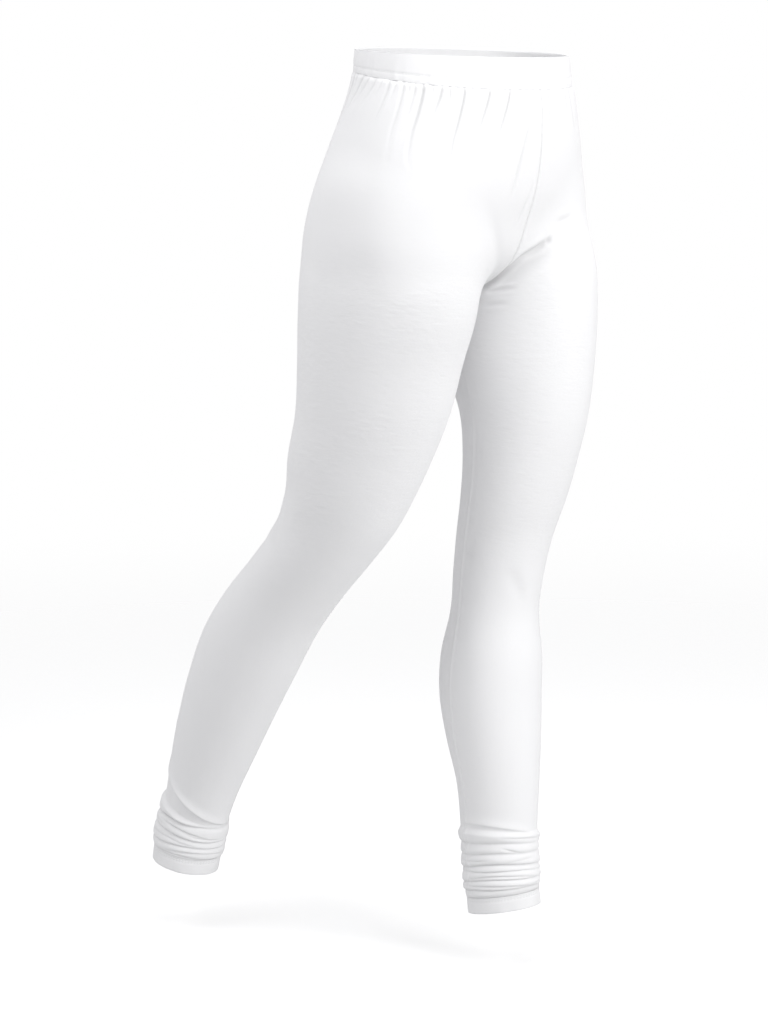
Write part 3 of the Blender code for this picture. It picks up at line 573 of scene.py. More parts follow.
# Creases of the panels. Each is a line through marks, in thousandths of (column, level): a level under 0 is a share
# of the rise above the crotch, and one over 0 is metres below it. Then depth into the leg, under 0 for a ridge, and
# width in millimetres, height of the shoulders as a share, and share of the length that fades at each end.
creases = {
    "shoulderAt": 2.1,    # distance of the shoulders from the line, in widths
    "reach": 5,           # how many widths away a crease still counts
    "linePoints": 49,
    "right": {
        "groin": (((10, -60), (60, -200), (120, -340), (190, -460)), 1, 8.5, 0.2, 0.45),
        "seamPull": (((40, -930), (51, -870), (74, -710), (88, -570), (105, -480)), 1.7, 2.6, 0.4, 0.35),
        "seamPullLow": (((16, -660), (30, -520), (44, -400)), 0.9, 2.4, 0.4, 0.45),
        "hipFill": (((280, 45), (360, 55), (420, 60), (490, 65), (560, 68)), -1.5, 22, 0.0, 0.35),
        "underSeat": (((985, 4), (900, 22), (800, 30), (690, 18)), 1.6, 9, 0.3, 0.4),
        "innerThigh": (((925, 30), (985, 14), (1000, 12)), 0.7, 3, 0.4, 0.45),
        "innerThighLow": (((905, 55), (960, 46), (1000, 50)), 0.6, 3.8, 0.4, 0.45),
        "kneeBack": (((600, 330), (700, 352), (790, 352), (900, 326)), 2, 8, 0.4, 0.4),
        "kneeBackLow": (((630, 392), (720, 378), (800, 376), (880, 390)), 1.5, 7, 0.4, 0.4),
        "kneeSide": (((520, 366), (600, 356), (680, 366)), 0.8, 7, 0.3, 0.5),
        "calf": (((640, 620), (720, 640), (820, 630)), 0.7, 10, 0.3, 0.5),
    },
    "left": {
        "groin": (((24, -20), (10, -200), (34, -285), (80, -287), (122, -290)), 3.6, 3.4, 0.2, 0.16),
        "groinWide": (((30, -50), (40, -200), (90, -240), (150, -270)), 2.4, 11.5, 0.1, 0.35),
        "groinEnd": (((104, -300), (118, -286), (128, -278)), 2.6, 3, 0.2, 0.45),
        "groinUpper": (((114, -365), (150, -345), (205, -300)), 1.3, 3, 0.3, 0.45),
        "innerThigh": (((56, 1), (90, 3), (124, 6)), 1.3, 2.2, 0.5, 0.3),
        "innerThighLow": (((50, 22), (80, 21), (108, 24)), 1, 2.4, 0.5, 0.4),
        "underSeat": (((990, 4), (900, 18), (800, 26), (680, 12)), 1.6, 9, 0.3, 0.4),
        "seamPull": (((20, -880), (50, -780), (70, -700)), 0.5, 2.6, 0.4, 0.45),
        "kneeFront": (((100, 345), (150, 362), (225, 398)), 1, 7, 0.3, 0.45),
        "kneeInner": (((945, 356), (1000, 344), (999, 344)), 0.6, 7, 0.3, 0.45),
        "kneeBack": (((640, 350), (730, 366), (830, 352)), 1, 8, 0.4, 0.45),
        "calf": (((620, 560), (720, 575), (800, 560)), 0.6, 10, 0.3, 0.5),
    },
}


# Points of a line through marks: cubic pieces give its columns and levels, and each point is the mean of the four
# places round it on the base grid, by how near it is to each.
def creaseLine(base, marks):
    marks = 0.001 * np.array(marks)
    along = np.linspace(0.0, 1.0, creases["linePoints"])
    knots = np.linspace(0.0, 1.0, len(marks))
    slopes = np.gradient(marks, knots, axis=0)
    low = np.clip((along * (len(marks) - 1)).astype(int), 0, len(marks) - 2)
    share = ((along - knots[low]) / knots[1])[:, None]
    place = cubicPiece(share, knots[1], marks[low], slopes[low], marks[low + 1], slopes[low + 1])
    levels = base["level"][:, 0]
    row = np.interp(place[:, 1], levels, np.arange(len(levels)))
    column = np.clip(place[:, 0], 0.0, 1.0) * panel["columns"]
    rowLow = np.minimum(row.astype(int), len(levels) - 2)
    columnLow = np.minimum(column.astype(int), panel["columns"] - 1)
    rowShare, columnShare = (row - rowLow)[:, None], (column - columnLow)[:, None]
    grid = base["points"]
    upper = (1 - columnShare) * grid[rowLow, columnLow] + columnShare * grid[rowLow, columnLow + 1]
    lower = (1 - columnShare) * grid[rowLow + 1, columnLow] + columnShare * grid[rowLow + 1, columnLow + 1]
    return (1 - rowShare) * upper + rowShare * lower


# Distance of points from a line of short straight pieces, and the share of its length at the nearest place: each
# point is dropped square onto every piece, kept between the piece's ends, and the nearest is taken.
def lineDistance(points, line):
    start, run = line[:-1], np.diff(line, axis=0)
    before = lengthsAlong(line)
    offset = points[:, None] - start[None]
    share = np.einsum("psk,sk->ps", offset, run) / np.maximum((run ** 2).sum(axis=1), tiny ** 2)
    share = np.clip(share, 0.0, 1.0)
    away = np.linalg.norm(offset - share[..., None] * run[None], axis=-1)
    nearest = away.argmin(axis=1)
    each = np.arange(len(points))
    reached = before[nearest] + share[each, nearest] * np.diff(before)[nearest]
    return away[each, nearest], reached / before[-1]


# The creases: each is its depth times a bell across the line less a bell on either side, faded to both ends.
def creaseLift(base, table):
    flat = base["points"].reshape(-1, 3)
    lift = np.zeros(len(flat))
    for marks, depth, width, shoulder, fadeShare in table.values():
        line = creaseLine(base, marks)
        reach = 0.001 * creases["reach"] * width
        near = np.flatnonzero(((flat > line.min(axis=0) - reach) & (flat < line.max(axis=0) + reach)).all(axis=1))
        away, share = lineDistance(flat[near], line)
        away = away / (0.001 * width)
        ends = smoothRamp(share, 0.0, fadeShare) * (1 - smoothRamp(share, 1 - fadeShare, 1.0))
        section = np.exp(-away ** 2) - shoulder * np.exp(-(away - creases["shoulderAt"]) ** 2)
        lift[near] -= 0.001 * depth * ends * section
    return lift.reshape(base["below"].shape)


# The rise seam is a narrow trough with the turned cloth raised beside it, and the inseam a raised line down the leg
# between two grooves.
seams = {
    "riseDepth": 0.00035, "riseWidth": 0.0014,
    "riseFade": 0.10,          # share of the rise over the crotch in which it fades in
    "allowance": 0.00065, "allowanceAt": 0.0046, "allowanceWidth": 0.0018,
    "pucker": 0.00014, "puckerLength": 0.0085, "puckerAt": 0.003, "puckerWidth": 0.004,
    "puckerSwing": (1.3, 90),    # how uneven the puckers are, and how often that changes
    "inseamHeight": 0.0007, "inseamWidth": 0.0016, "inseamFade": 0.02,
    "grooveDepth": 0.00030, "grooveAt": 0.0040, "grooveWidth": 0.0014,
    # in thousandths: level below the crotch, and the column that the inseam has drifted to from the inside line
    "right": ((0, 0), (120, -12), (300, -30), (450, -45), (600, -55), (810, -55)),
    "left": ((0, 0), (100, -30), (170, -50), (420, -62), (500, -81), (570, -84), (740, -80)),
}


# A bell: e to the power of less the square of the distance from its middle, in widths.
def bell(distance, middle, width):
    return np.exp(-((distance - middle) / width) ** 2)


# The seams' own forms: beside the rise a trough, the allowance as a bell and puckers that come and go along it, and
# on the leg the inseam's bell less its grooves.
def seamLift(base, drift):
    columns, below, level = base["columns"], base["below"], base["level"]
    fromEdge = np.minimum(columns, 1 - columns) * base["girth"]
    trough = -seams["riseDepth"] * np.exp(-fromEdge / seams["riseWidth"])
    beside = seams["allowance"] * bell(fromEdge, seams["allowanceAt"], seams["allowanceWidth"])
    swing, often = seams["puckerSwing"]
    waves = np.cos(fullTurn * below / seams["puckerLength"] + swing * np.sin(below * often))
    pucker = seams["pucker"] * waves * bell(fromEdge, seams["puckerAt"], seams["puckerWidth"])
    place = np.interp(level, *(0.001 * np.transpose(drift)))
    away = np.abs((columns - place + 0.5) % 1.0 - 0.5) * base["girth"]
    ridge = seams["inseamHeight"] * bell(away, 0.0, seams["inseamWidth"])
    groove = seams["grooveDepth"] * bell(away, seams["grooveAt"], seams["grooveWidth"])
    onRise = (level <= 0) * smoothRamp(-level, 0.0, seams["riseFade"])
    return onRise * (trough + beside + pucker) + smoothRamp(level, 0.0, seams["inseamFade"]) * (ridge - groove)


# The lowest lift within so many rows and columns of each place: the least of the grid moved by each step.
def lowestAround(lift, rows, columns, closedFrom):
    low = lift.copy()
    for step in range(1, rows + 1):
        low[step:] = np.minimum(low[step:], lift[:-step])
        low[:-step] = np.minimum(low[:-step], lift[step:])
    wide = low.copy()
    for step in range(1, columns + 1):
        wide[:, step:] = np.minimum(wide[:, step:], low[:, :-step])
        wide[:, :-step] = np.minimum(wide[:, :-step], low[:, step:])
    wide[closedFrom:, 0] = wide[closedFrom:, -1] = np.minimum(wide[closedFrom:, 0], wide[closedFrom:, -1])
    return wide


# Painted shade in the hollows, where little light reaches: the depth at which each kind has its full painted shade,
# and its share of that shade.
paintedShadeSettings = {
    "fold": 0.0016, "foldPower": 2.0,
    "foldFrom": (0.0006, 0.0020), "foldTo": (0.046, 0.058),    # heights over the hem seam where it starts and ends
    "gather": 0.0010, "gatherSpare": 0.0002, "gatherShare": 0.85,
    "crease": 0.0030, "creaseShare": 0.5,
    "seamShare": 0.2,
}


# The painted shade of a place, the greatest of its hollows: how near an ankle's cloth comes to the leg, and how deep
# the gathers, the creases and the rise seam lie, each as a share of its full depth.
def paintedHollowShade(base, folds, troughs, creased, sewn):
    height = base["height"]
    ankle = np.clip(1 - folds / paintedShadeSettings["fold"], 0.0, 1.0) ** paintedShadeSettings["foldPower"]
    ankle = ankle * smoothRamp(height, *paintedShadeSettings["foldFrom"]) * (1 - smoothRamp(height, *paintedShadeSettings["foldTo"]))
    gather = np.clip((-troughs - paintedShadeSettings["gatherSpare"]) / paintedShadeSettings["gather"], 0.0, 1.0)
    crease = np.clip(-creased / paintedShadeSettings["crease"], 0.0, 1.0)
    seam = (base["level"] <= 0) * np.clip(-sewn / seams["riseDepth"], 0.0, 1.0)
    return np.max([ankle, paintedShadeSettings["gatherShare"] * gather, paintedShadeSettings["creaseShare"] * crease,
                   paintedShadeSettings["seamShare"] * seam], axis=0)


# One leg panel. The outer skin is the base moved outwards by all lifts together and down the leg by the folds' droop.
# The inner skin is a coarser grid that lies a wall inside the lowest lift around, so that no valley cuts through it.
def legPanel(name, leg, label):
    base = panelBase(leg)
    points = base["points"]
    closedFrom = panel["riseRows"]
    outward = formDirection(points)
    edge = np.ix_(range(closedFrom + 1), (0, -1))
    points[(*edge, 0)] = 0.0
    outward[(*edge, 0)] = 0.0
    outward[edge] = unit(outward[edge])
    folds = ankleLift(base, ankleFolds[label])
    puff, troughs = gatherLift(base, gathers[label])
    creased, sewn = creaseLift(base, creases[label]), seamLift(base, seams[label])
    lift = puff + troughs + creased + sewn + folds
    lift[closedFrom:, -1] = lift[closedFrom:, 0]
    outer = points + lift[..., None] * outward - panel["droop"] * folds[..., None] * base["upLeg"]
    everyRow, everyColumn = panel["innerEveryRow"], panel["innerEveryColumn"]
    low = lowestAround(lift, everyRow, everyColumn, closedFrom) - panel["wall"]
    coarse = (slice(None, None, everyRow), slice(None, None, everyColumn))
    inner = (points + low[..., None] * outward)[coarse]
    skin = np.arange(lift.size).reshape(lift.shape)
    lining = skin.size + np.arange(inner[..., 0].size).reshape(inner.shape[:2])
    closedInner = closedFrom // everyRow
    numbers = np.arange(skin.size + lining.size)
    numbers[skin[closedFrom:, -1]] = skin[closedFrom:, 0]
    numbers[lining[closedInner:, -1]] = lining[closedInner:, 0]
    faces = [
        gridFaces(skin), gridFaces(lining)[:, ::-1],
        rimFaces(skin[0], lining[0], everyColumn), rimFaces(skin[-1], lining[-1], everyColumn)[:, ::-1],
        rimFaces(skin[:closedFrom + 1, 0], lining[:closedInner + 1, 0], everyRow)[:, ::-1],
        rimFaces(skin[:closedFrom + 1, -1], lining[:closedInner + 1, -1], everyRow),
    ]
    around = (base["columns"] - 0.5) * base["girth"]
    uv = np.stack([around, np.broadcast_to(base["below"].mean(axis=1, keepdims=True), around.shape)], axis=-1)
    apart = np.array([leg["side"] * panel["sewnGap"] / 2, 0.0, 0.0])
    allPoints = np.concatenate([outer.reshape(-1, 3), inner.reshape(-1, 3)]) + apart
    allUv = np.concatenate([uv.reshape(-1, 2), uv[coarse].reshape(-1, 2)])
    # Painted shade of the hollows of the folds, gathers, creases and rise seam, kept on the mesh so the material
    # darkens its colour there.
    paintedShadeMask = paintedHollowShade(base, folds, troughs, creased, sewn)
    allPaintedShade = np.concatenate([paintedShadeMask.ravel(), np.zeros(lining.size)])
    return makeMesh(name, allPoints, numbers, faces, allUv, {"paintedShadeMask": allPaintedShade})


band = {
    "depth": 0.196,       # front to back of the waist
    "topFront": 0.0155,
    "topBack": 0.0270,
    "footFront": -0.0170,
    "footBack": 0.0060,
    "height": 0.032,      # at the front
    "meanHeight": 0.030,
    "wall": 0.0026,
    "puff": 0.0012,       # how far the casing stands out over the elastic
    "puffArch": (0.15, 0.70),    # where on half a wave its arch starts, and how much of that it takes
    "columns": 520,
    "outerSteps": 26,
    "innerSteps": 10,
    "edgeRound": 0.0010,
    "edgeDrop": 0.5,      # how far a rounded edge reaches past the height, in roundings
    "edgeTuck": 0.0003,
    "stitchLine": 0.0085,    # above the foot
    "stitchGroove": 0.00045,
    "stitchGrooveWidth": 0.0012,
    # ripples that the elastic draws into the casing: how many round the waist, depth, phase
    "ripples": ((61, 0.00022, 0.0), (43, 0.00018, 1.9), (89, 0.00012, 4.1), (27, 0.00016, 2.6)),
    "rippleSwing": (0.7, 5),       # how uneven the ripples are, and how many times round the waist that changes
    "rippleTop": 0.18,             # share of them at the top, from which they grow towards the foot
    "rippleFrom": 0.25,
}


# Height of the waistband's foot at a depth, on the straight line from its front to its back.
def footHeight(depth):
    return band["footFront"] + (depth / band["depth"] + 0.5) * (band["footBack"] - band["footFront"])


hem = {
    "height": 0.018,
    "wall": 0.0020,
    "proud": 0.0004,
    "columns": 240,
    "outerSteps": 26,
    "innerSteps": 8,
    "edgeRound": 0.0009,
    "edgeDrop": 0.35,
    "edgeTuck": 0.0005,
    "stitchLines": (0.0026, 0.0050),   # below the hem seam
    "stitchGroove": 0.00040,
    "stitchGrooveWidth": 0.0011,
    # soft waves of the turned edge: how many round the ankle, depth, phase
    "waves": ((3, 0.00035, 0.6), (7, 0.00022, 2.1), (13, 0.00012, 4.4)),
    "waveTop": 0.2,       # share of them at the seam
}


# The section of a closed ring of cloth: down the outer face, round the foot, up the inner face and round the top. Each
# place is given as its share down, its share inwards through the wall and how far the rounded edge bulges there.
def ringSection(settings, edgeSteps=6):
    outer = np.linspace(0.0, 1.0, settings["outerSteps"] + 1)
    inner = np.linspace(1.0, 0.0, settings["innerSteps"] + 1)
    turn = np.linspace(0.0, math.pi, edgeSteps + 1)[1:-1]
    down = np.concatenate([outer, 1 + 0 * turn, inner, 0 * turn])
    through = np.concatenate([0 * outer, 0.5 - 0.5 * np.cos(turn), 1 + 0 * inner, 0.5 + 0.5 * np.cos(turn)])
    rounding = np.concatenate([0 * outer, np.sin(turn), 0 * inner, -np.sin(turn)])
    columns = np.linspace(0.0, 1.0, settings["columns"] + 1)
    return down[:, None], through[:, None], rounding[:, None], columns[None]


# What the outer face of a ring of cloth loses: a bell along each row of stitches, and a tuck along both edges.
def ringTuck(settings, down, through, height, fromLines):
    grooves = sum(bell(away, 0.0, settings["stitchGrooveWidth"]) for away in fromLines)
    edges = 1 - smoothRamp(np.minimum(down, 1 - down) * height, 0.0, settings["edgeRound"])
    return (through == 0) * (settings["stitchGroove"] * grooves + settings["edgeTuck"] * edges)


# The mesh of a ring of cloth, whose last column shares its vertices with the first. The texture runs round by the
# girth of the top row and along the section by its length.
def ringMesh(name, settings, down, through, columns, height, topRow, cloth):
    girth = lengthsAlong(topRow)[-1]
    grid = np.arange(cloth[..., 0].size).reshape(cloth.shape[:2])
    numbers = grid.copy()
    numbers[:, -1] = numbers[:, 0]
    steps = np.diff(down, axis=0, prepend=0.0) * height, np.diff(through, axis=0, prepend=0.0) * settings["wall"]
    uv = np.stack(np.broadcast_arrays((columns - 0.5) * girth, np.cumsum(np.hypot(*steps))[:, None]), axis=-1)
    faces = [gridFaces(np.concatenate([grid, grid[:1]]))]
    return makeMesh(name, cloth.reshape(-1, 3), numbers.ravel(), faces, uv.reshape(-1, 2))


# The row of the outer face that is nearest to a line of stitches, with its outward directions.
def stitchRow(away, through, cloth, outward):
    row = np.where(through > 0, np.inf, np.abs(away)).argmin()
    return cloth[row], outward[row]


# The waistband: rings on the form from its top to its foot, tipped from front to back. The casing stands out by an
# arch and by ripples, each a wave whose phase swings to and fro.
def waistBand():
    down, through, rounding, columns = ringSection(band)
    drop = rounding * band["edgeDrop"] * band["edgeRound"]
    front = band["topFront"] + down * (band["footFront"] - band["topFront"]) - drop
    back = band["topBack"] + down * (band["footBack"] - band["topBack"])
    pitch = np.arctan2(back - front, band["depth"])
    middle = np.stack([0 * front, 0 * front, 0.5 * (front + back)], axis=-1)
    points = ringPoints(1, middle, pitch, 0 * pitch, 0.0, columns, oneSide=False)
    outward = formDirection(points)
    outward[..., 2] = 0.0
    outward = unit(outward)
    around = columns * fullTurn
    start, span = band["puffArch"]
    lift = band["puff"] * np.sin(math.pi * (start + span * down)) - through * band["wall"]
    uneven, times = band["rippleSwing"]
    grown = smoothRamp(down, band["rippleFrom"], 1.0, band["rippleTop"])
    for count, size, phase in band["ripples"]:
        lift = lift + size * np.cos(count * around + phase + uneven * np.sin(times * around + phase)) * grown
    fromStitch = (1 - down) * band["height"] - band["stitchLine"]
    lift = lift - ringTuck(band, down, through, band["meanHeight"], [fromStitch])
    cloth = points + lift[..., None] * outward
    piece = ringMesh("waistbandCloth", band, down, through, columns, band["meanHeight"], points[0], cloth)
    return piece, stitchRow(fromStitch, through, cloth, outward)


# A hem: rings square to the end of the leg, standing a little proud of it and waving more towards the turned edge.
def ankleHem(name, leg):
    down, through, rounding, columns = ringSection(hem)
    crotch = crotchRing(riseRings(leg, np.array([0.0, 1.0])))
    distances = -hem["height"] * down - rounding * hem["edgeDrop"] * hem["edgeRound"]
    middle, pitch, roll = limbRings(leg, np.minimum(distances, 0.0), crotch)
    points = ringPoints(leg["side"], middle, pitch, roll, 0.0, columns)
    outward = formDirection(points)
    lift = hem["proud"] - through * hem["wall"]
    for count, size, phase in hem["waves"]:
        wave = size * np.cos(count * columns * fullTurn + phase + leg["side"])
        lift = lift + wave * (hem["waveTop"] + (1 - hem["waveTop"]) * down)
    fromLines = [down * hem["height"] - line for line in hem["stitchLines"]]
    lift = lift - ringTuck(hem, down, through, hem["height"], fromLines)
    cloth = points + lift[..., None] * outward + np.array([leg["side"] * seamGap / 2, 0.0, 0.0])
    piece = ringMesh(name, hem, down, through, columns, hem["height"], points[0], cloth)
    return piece, [stitchRow(away, through, cloth, outward) for away in fromLines]


stitch = {
    "length": 0.0026,
    "gap": 0.0010,
    "thickness": 0.00052,
    "endRadius": 0.00002,
    "sink": 0.00010,       # how deep each stitch lies in the cloth
    "lookAhead": 0.0004,   # how far ahead on the line a stitch takes its direction from
    "around": 8,
    "along": 7,
}


# Stitches along closed lines, each a rounded thread that dips into the cloth at both ends: its rise is the sine of the
# share of half a turn along it, and its radius the root of that.
def stitchRing(name, lines):
    phase = np.linspace(0.0, math.pi, stitch["along"])
    turn = np.linspace(0.0, fullTurn, stitch["around"], endpoint=False)[:, None]
    half = 0.5 * stitch["thickness"]
    radius = half * np.sqrt(np.clip(np.sin(phase), 0.0, 1.0)) + stitch["endRadius"]
    rise = half * np.sin(phase) - stitch["sink"]
    pieces, faceGroups, start = [], [], 0
    for line, outward in lines:
        lengths = lengthsAlong(line)
        count = int(lengths[-1] / (stitch["length"] + stitch["gap"]))
        centres = (np.arange(count) + 0.5) / count * lengths[-1]
        places = centres[:, None] - 0.5 * stitch["length"] * np.cos(phase)
        point, normal = readAlong(places, lengths, line), readAlong(places, lengths, outward)
        forward = unit(readAlong(places + stitch["lookAhead"], lengths, line) - point)
        side = unit(np.cross(normal, forward))
        ring = np.cos(turn) * side[:, :, None] + np.sin(turn) * normal[:, :, None]
        thread = (point + rise[:, None] * normal)[:, :, None] + radius[:, None, None] * ring
        grid = start + np.arange(thread[..., 0].size).reshape(thread.shape[:3])
        sides = gridFaces(np.concatenate([grid, grid[..., :1]], axis=-1))
        faceGroups += [sides, grid[:, 0], grid[:, -1, ::-1]]
        pieces.append(thread.reshape(-1, 3))
        start += grid.size
    points = np.concatenate(pieces)
    return makeMesh(name, points, np.arange(len(points)), faceGroups, points[:, :2].copy())


knit = {
    "wale": 0.0010,        # width of one rib of loops
    "course": 0.00085,     # height of one row of loops
    "slant": 1.4,          # rows that a loop slants by in the width of a rib
    "ribShare": 0.62,      # shares of the rib and of the row in the loops' height
    "rowShare": 0.19,
    # painted shade of the loops: the colour is darker between them, where they lie low
    "loopPaintedShade": (0.05, 0.975),    # what the loops add to the shade, and the shade between them
    "tint": 0.030,
    "cloudSize": 9.0,      # sizes of noise, in changes a metre
    "fuzzSize": 900.0,
    "fuzzRoughness": 0.6,
    "threadSize": 2600.0,
    "threadShade": (0.12, 0.92),
    "wrinkleSize": (75.0, 75.0, 190.0),
    "thighHeights": ((-0.62, -0.46), (-0.26, -0.13)),    # where the thighs' wrinkles come in, and where they go
    "wrinkleShare": (0.8, 0.2),    # share of them on the thighs, and everywhere
    "patchSize": 14.0,
    "patchLimit": (0.62, 0.1),     # greatest strength of a patch of wrinkles, and its rounding
    "loopBump": (0.00010, 0.6),    # depth and strength
    "fuzzBump": (0.00006, 0.5),
}


# Sets a node's inputs: a socket is linked, and anything else is set as a plain value.
def setInputs(tree, node, inputs):
    for key, value in inputs.items():
        if isinstance(value, bpy.types.NodeSocket):
            tree.links.new(value, node.inputs[key])
        else:
            node.inputs[key].default_value = value


# A new node of a kind, with its settings and inputs.
def addNode(tree, kind, inputs, **settings):
    node = tree.nodes.new(kind)
    for key, value in settings.items():
        setattr(node, key, value)
    setInputs(tree, node, inputs)
    return node


# The result of one operation on up to three values or sockets.
def mathNode(tree, operation, *values):
    return addNode(tree, "ShaderNodeMath", dict(enumerate(values)), operation=operation).outputs[0]


# Noise over places, with so many changes a metre.
def noiseNode(tree, places, size, detail=2.0, roughness=0.5):
    inputs = {"Vector": places, "Scale": size, "Detail": detail, "Roughness": roughness}
    return addNode(tree, "ShaderNodeTexNoise", inputs).outputs["Fac"]


# A smooth step from 0 to 1 between two values.
def rampNode(tree, value, low, high):
    inputs = {"Value": value, "From Min": low, "From Max": high}
    return addNode(tree, "ShaderNodeMapRange", inputs, interpolation_type="SMOOTHSTEP").outputs[0]


# A new group of nodes with these inputs and outputs.
def newGroup(name, inputs, outputs):
    group = bpy.data.node_groups.new(name, "ShaderNodeTree")
    for label, kind, value in inputs:
        socket = group.interface.new_socket(name=label, in_out="INPUT", socket_type=kind)
        if value is not None:
            socket.default_value = value
    for label in outputs:
        group.interface.new_socket(name=label, in_out="OUTPUT", socket_type="NodeSocketFloat")
    return group, group.nodes.new("NodeGroupInput").outputs, group.nodes.new("NodeGroupOutput")


# Jersey knit: ribs of loops across, rows of loops down, each loop slanting to the middle of its rib like a V. Height
# = rib share x sine of the place in the rib + row share x sine of the slanted row. The shade, a painted shade that is
# darker where the loops lie low, is half of that.
def jerseyGroup():
    inputs = [("Metres", "NodeSocketVector", None), ("Wale", "NodeSocketFloat", knit["wale"]),
              ("Course", "NodeSocketFloat", knit["course"])]
    group, start, end = newGroup("jerseyKnit", inputs, ["Height", "Shade"])

    def sums(operation, *values):
        return mathNode(group, operation, *values)

    split = addNode(group, "ShaderNodeSeparateXYZ", {0: start["Metres"]}).outputs
    inRib = sums("PINGPONG", sums("DIVIDE", split[0], start["Wale"]), 0.5)
    slanted = sums("ADD", sums("DIVIDE", split[1], start["Course"]), sums("MULTIPLY", inRib, knit["slant"]))
    rib = sums("MULTIPLY", sums("SINE", sums("MULTIPLY", inRib, math.pi)), knit["ribShare"])
    row = sums("MULTIPLY", sums("SINE", sums("MULTIPLY", slanted, fullTurn)), knit["rowShare"])
    height = sums("ADD", rib, row)
    setInputs(group, end, {"Height": height, "Shade": sums("MULTIPLY", height, 0.5)})
    return group


# Worn cotton: broad soft changes of shade, fine fuzz, and faint wrinkles that lie across the leg. Wrinkles = noise
# pressed flat x patches of noise x (share on the thighs between their ramps + share everywhere).
def wearGroup():
    outputs = ["Shade", "Fuzz", "Wrinkle"]
    group, start, end = newGroup("clothWear", [("Place", "NodeSocketVector", None)], outputs)
    place = start["Place"]
    height = addNode(group, "ShaderNodeSeparateXYZ", {0: place}).outputs["Z"]
    rise, fall = (rampNode(group, height, *heights) for heights in knit["thighHeights"])
    onThigh = mathNode(group, "MULTIPLY", rise, mathNode(group, "SUBTRACT", 1.0, fall))
    where = mathNode(group, "MULTIPLY_ADD", onThigh, *knit["wrinkleShare"])
    patches = mathNode(group, "SMOOTH_MIN", noiseNode(group, place, knit["patchSize"], 1.0), *knit["patchLimit"])
    flat = addNode(group, "ShaderNodeMapping", {"Vector": place, "Scale": knit["wrinkleSize"]}).outputs[0]
    lines = noiseNode(group, flat, 1.0)
    setInputs(group, end, {
        "Shade": noiseNode(group, place, knit["cloudSize"]),
        "Fuzz": noiseNode(group, place, knit["fuzzSize"], roughness=knit["fuzzRoughness"]),
        "Wrinkle": mathNode(group, "MULTIPLY", lines, mathNode(group, "MULTIPLY", where, patches)),
    })
    return group


jersey = jerseyGroup()
wear = wearGroup()

finish = {
    "cotton": (0.840, 0.840, 0.848),
    "thread": (0.86, 0.86, 0.865),
    # share of the colour that the painted shade in the hollows takes away
    "paintedHollowShade": 0.34,
    "panel": {"Roughness": 0.85},
    "band": {"Roughness": 0.80},
    "cloth": {"Specular IOR Level": 0.25, "Sheen Weight": 0.20, "Sheen Roughness": 0.55},
    "threadShine": {"Roughness": 0.62, "Specular IOR Level": 0.4},
    "panelWrinkle": (0.00150, 0.6),    # depth and strength
    "bandWrinkle": (0.00012, 0.6),
    "hemWrinkle": (0.00010, 0.6),
}


# A new material with its main shader's plain inputs.
def newMaterial(name, inputs):
    material = bpy.data.materials.new(name)
    material.use_nodes = True
    tree = material.node_tree
    shader = tree.nodes["Principled BSDF"]
    setInputs(tree, shader, inputs)
    return material, tree, shader


# A colour times a shade.
def shadeNode(tree, colour, shade):
    return addNode(tree, "ShaderNodeVectorMath", {0: colour, "Scale": shade}, operation="SCALE").outputs[0]


# Knit cloth: the cotton's colour times the wear's small changes of shade and the loops' painted shade between them,
# times one less the share of painted shade that the hollows of the folds take, with the wrinkles, the fuzz and the
# loops as bumps.
def clothMaterial(name, shine, wrinkle, paintedHollowShade=0.0, waleTurn=0.0):
    material, tree, shader = newMaterial(name, {**shine, **finish["cloth"]})
    metres = addNode(tree, "ShaderNodeUVMap", {}, uv_map="clothMetres").outputs[0]
    if waleTurn:
        metres = addNode(tree, "ShaderNodeMapping", {"Vector": metres, "Rotation": (0.0, 0.0, waleTurn)}).outputs[0]
    place = addNode(tree, "ShaderNodeTexCoord", {}).outputs["Object"]
    loops = addNode(tree, "ShaderNodeGroup", {"Metres": metres}, node_tree=jersey).outputs
    worn = addNode(tree, "ShaderNodeGroup", {"Place": place}, node_tree=wear).outputs
    shade = mathNode(tree, "MULTIPLY_ADD", worn["Shade"], knit["tint"], 1 - 0.5 * knit["tint"])
    # Painted shade between the loops of the knit.
    shade = mathNode(tree, "MULTIPLY", shade, mathNode(tree, "MULTIPLY_ADD", loops["Shade"], *knit["loopPaintedShade"]))
    # Painted shade: the colour is darkened where the hollows' mask is high.
    if paintedHollowShade:
        paintedShadeMask = addNode(tree, "ShaderNodeAttribute", {}, attribute_name="paintedShadeMask").outputs["Fac"]
        shade = mathNode(tree, "MULTIPLY", shade, mathNode(tree, "MULTIPLY_ADD", paintedShadeMask, -paintedHollowShade, 1.0))
    bumps = ((worn["Wrinkle"], wrinkle), (worn["Fuzz"], knit["fuzzBump"]), (loops["Height"], knit["loopBump"]))
    normal = {}
    for height, (depth, strength) in bumps:
        inputs = {"Height": height, "Distance": depth, "Strength": strength, **normal}
        normal = {"Normal": addNode(tree, "ShaderNodeBump", inputs).outputs[0]}
    setInputs(tree, shader, {"Base Color": shadeNode(tree, finish["cotton"], shade), **normal})
    return material


# Thread: its colour times a fine noise.
def threadMaterial(name):
    material, tree, shader = newMaterial(name, finish["threadShine"])
    noise = noiseNode(tree, addNode(tree, "ShaderNodeTexCoord", {}).outputs["Object"], knit["threadSize"])
    shade = mathNode(tree, "MULTIPLY_ADD", noise, *knit["threadShade"])
    setInputs(tree, shader, {"Base Color": shadeNode(tree, finish["thread"], shade)})
    return material


panelPieces = {label: legPanel("leg" + label.capitalize() + "Cloth", leg, label) for label, leg in legs.items()}
bandPiece, bandLine = waistBand()
hemPieces = {label: ankleHem("hem" + label.capitalize() + "Cloth", leg) for label, leg in legs.items()}
bandStitches = stitchRing("waistbandStitches", [bandLine])
hemStitches = {label: stitchRing("hem" + label.capitalize() + "Stitches", hemPieces[label][1]) for label in legs}

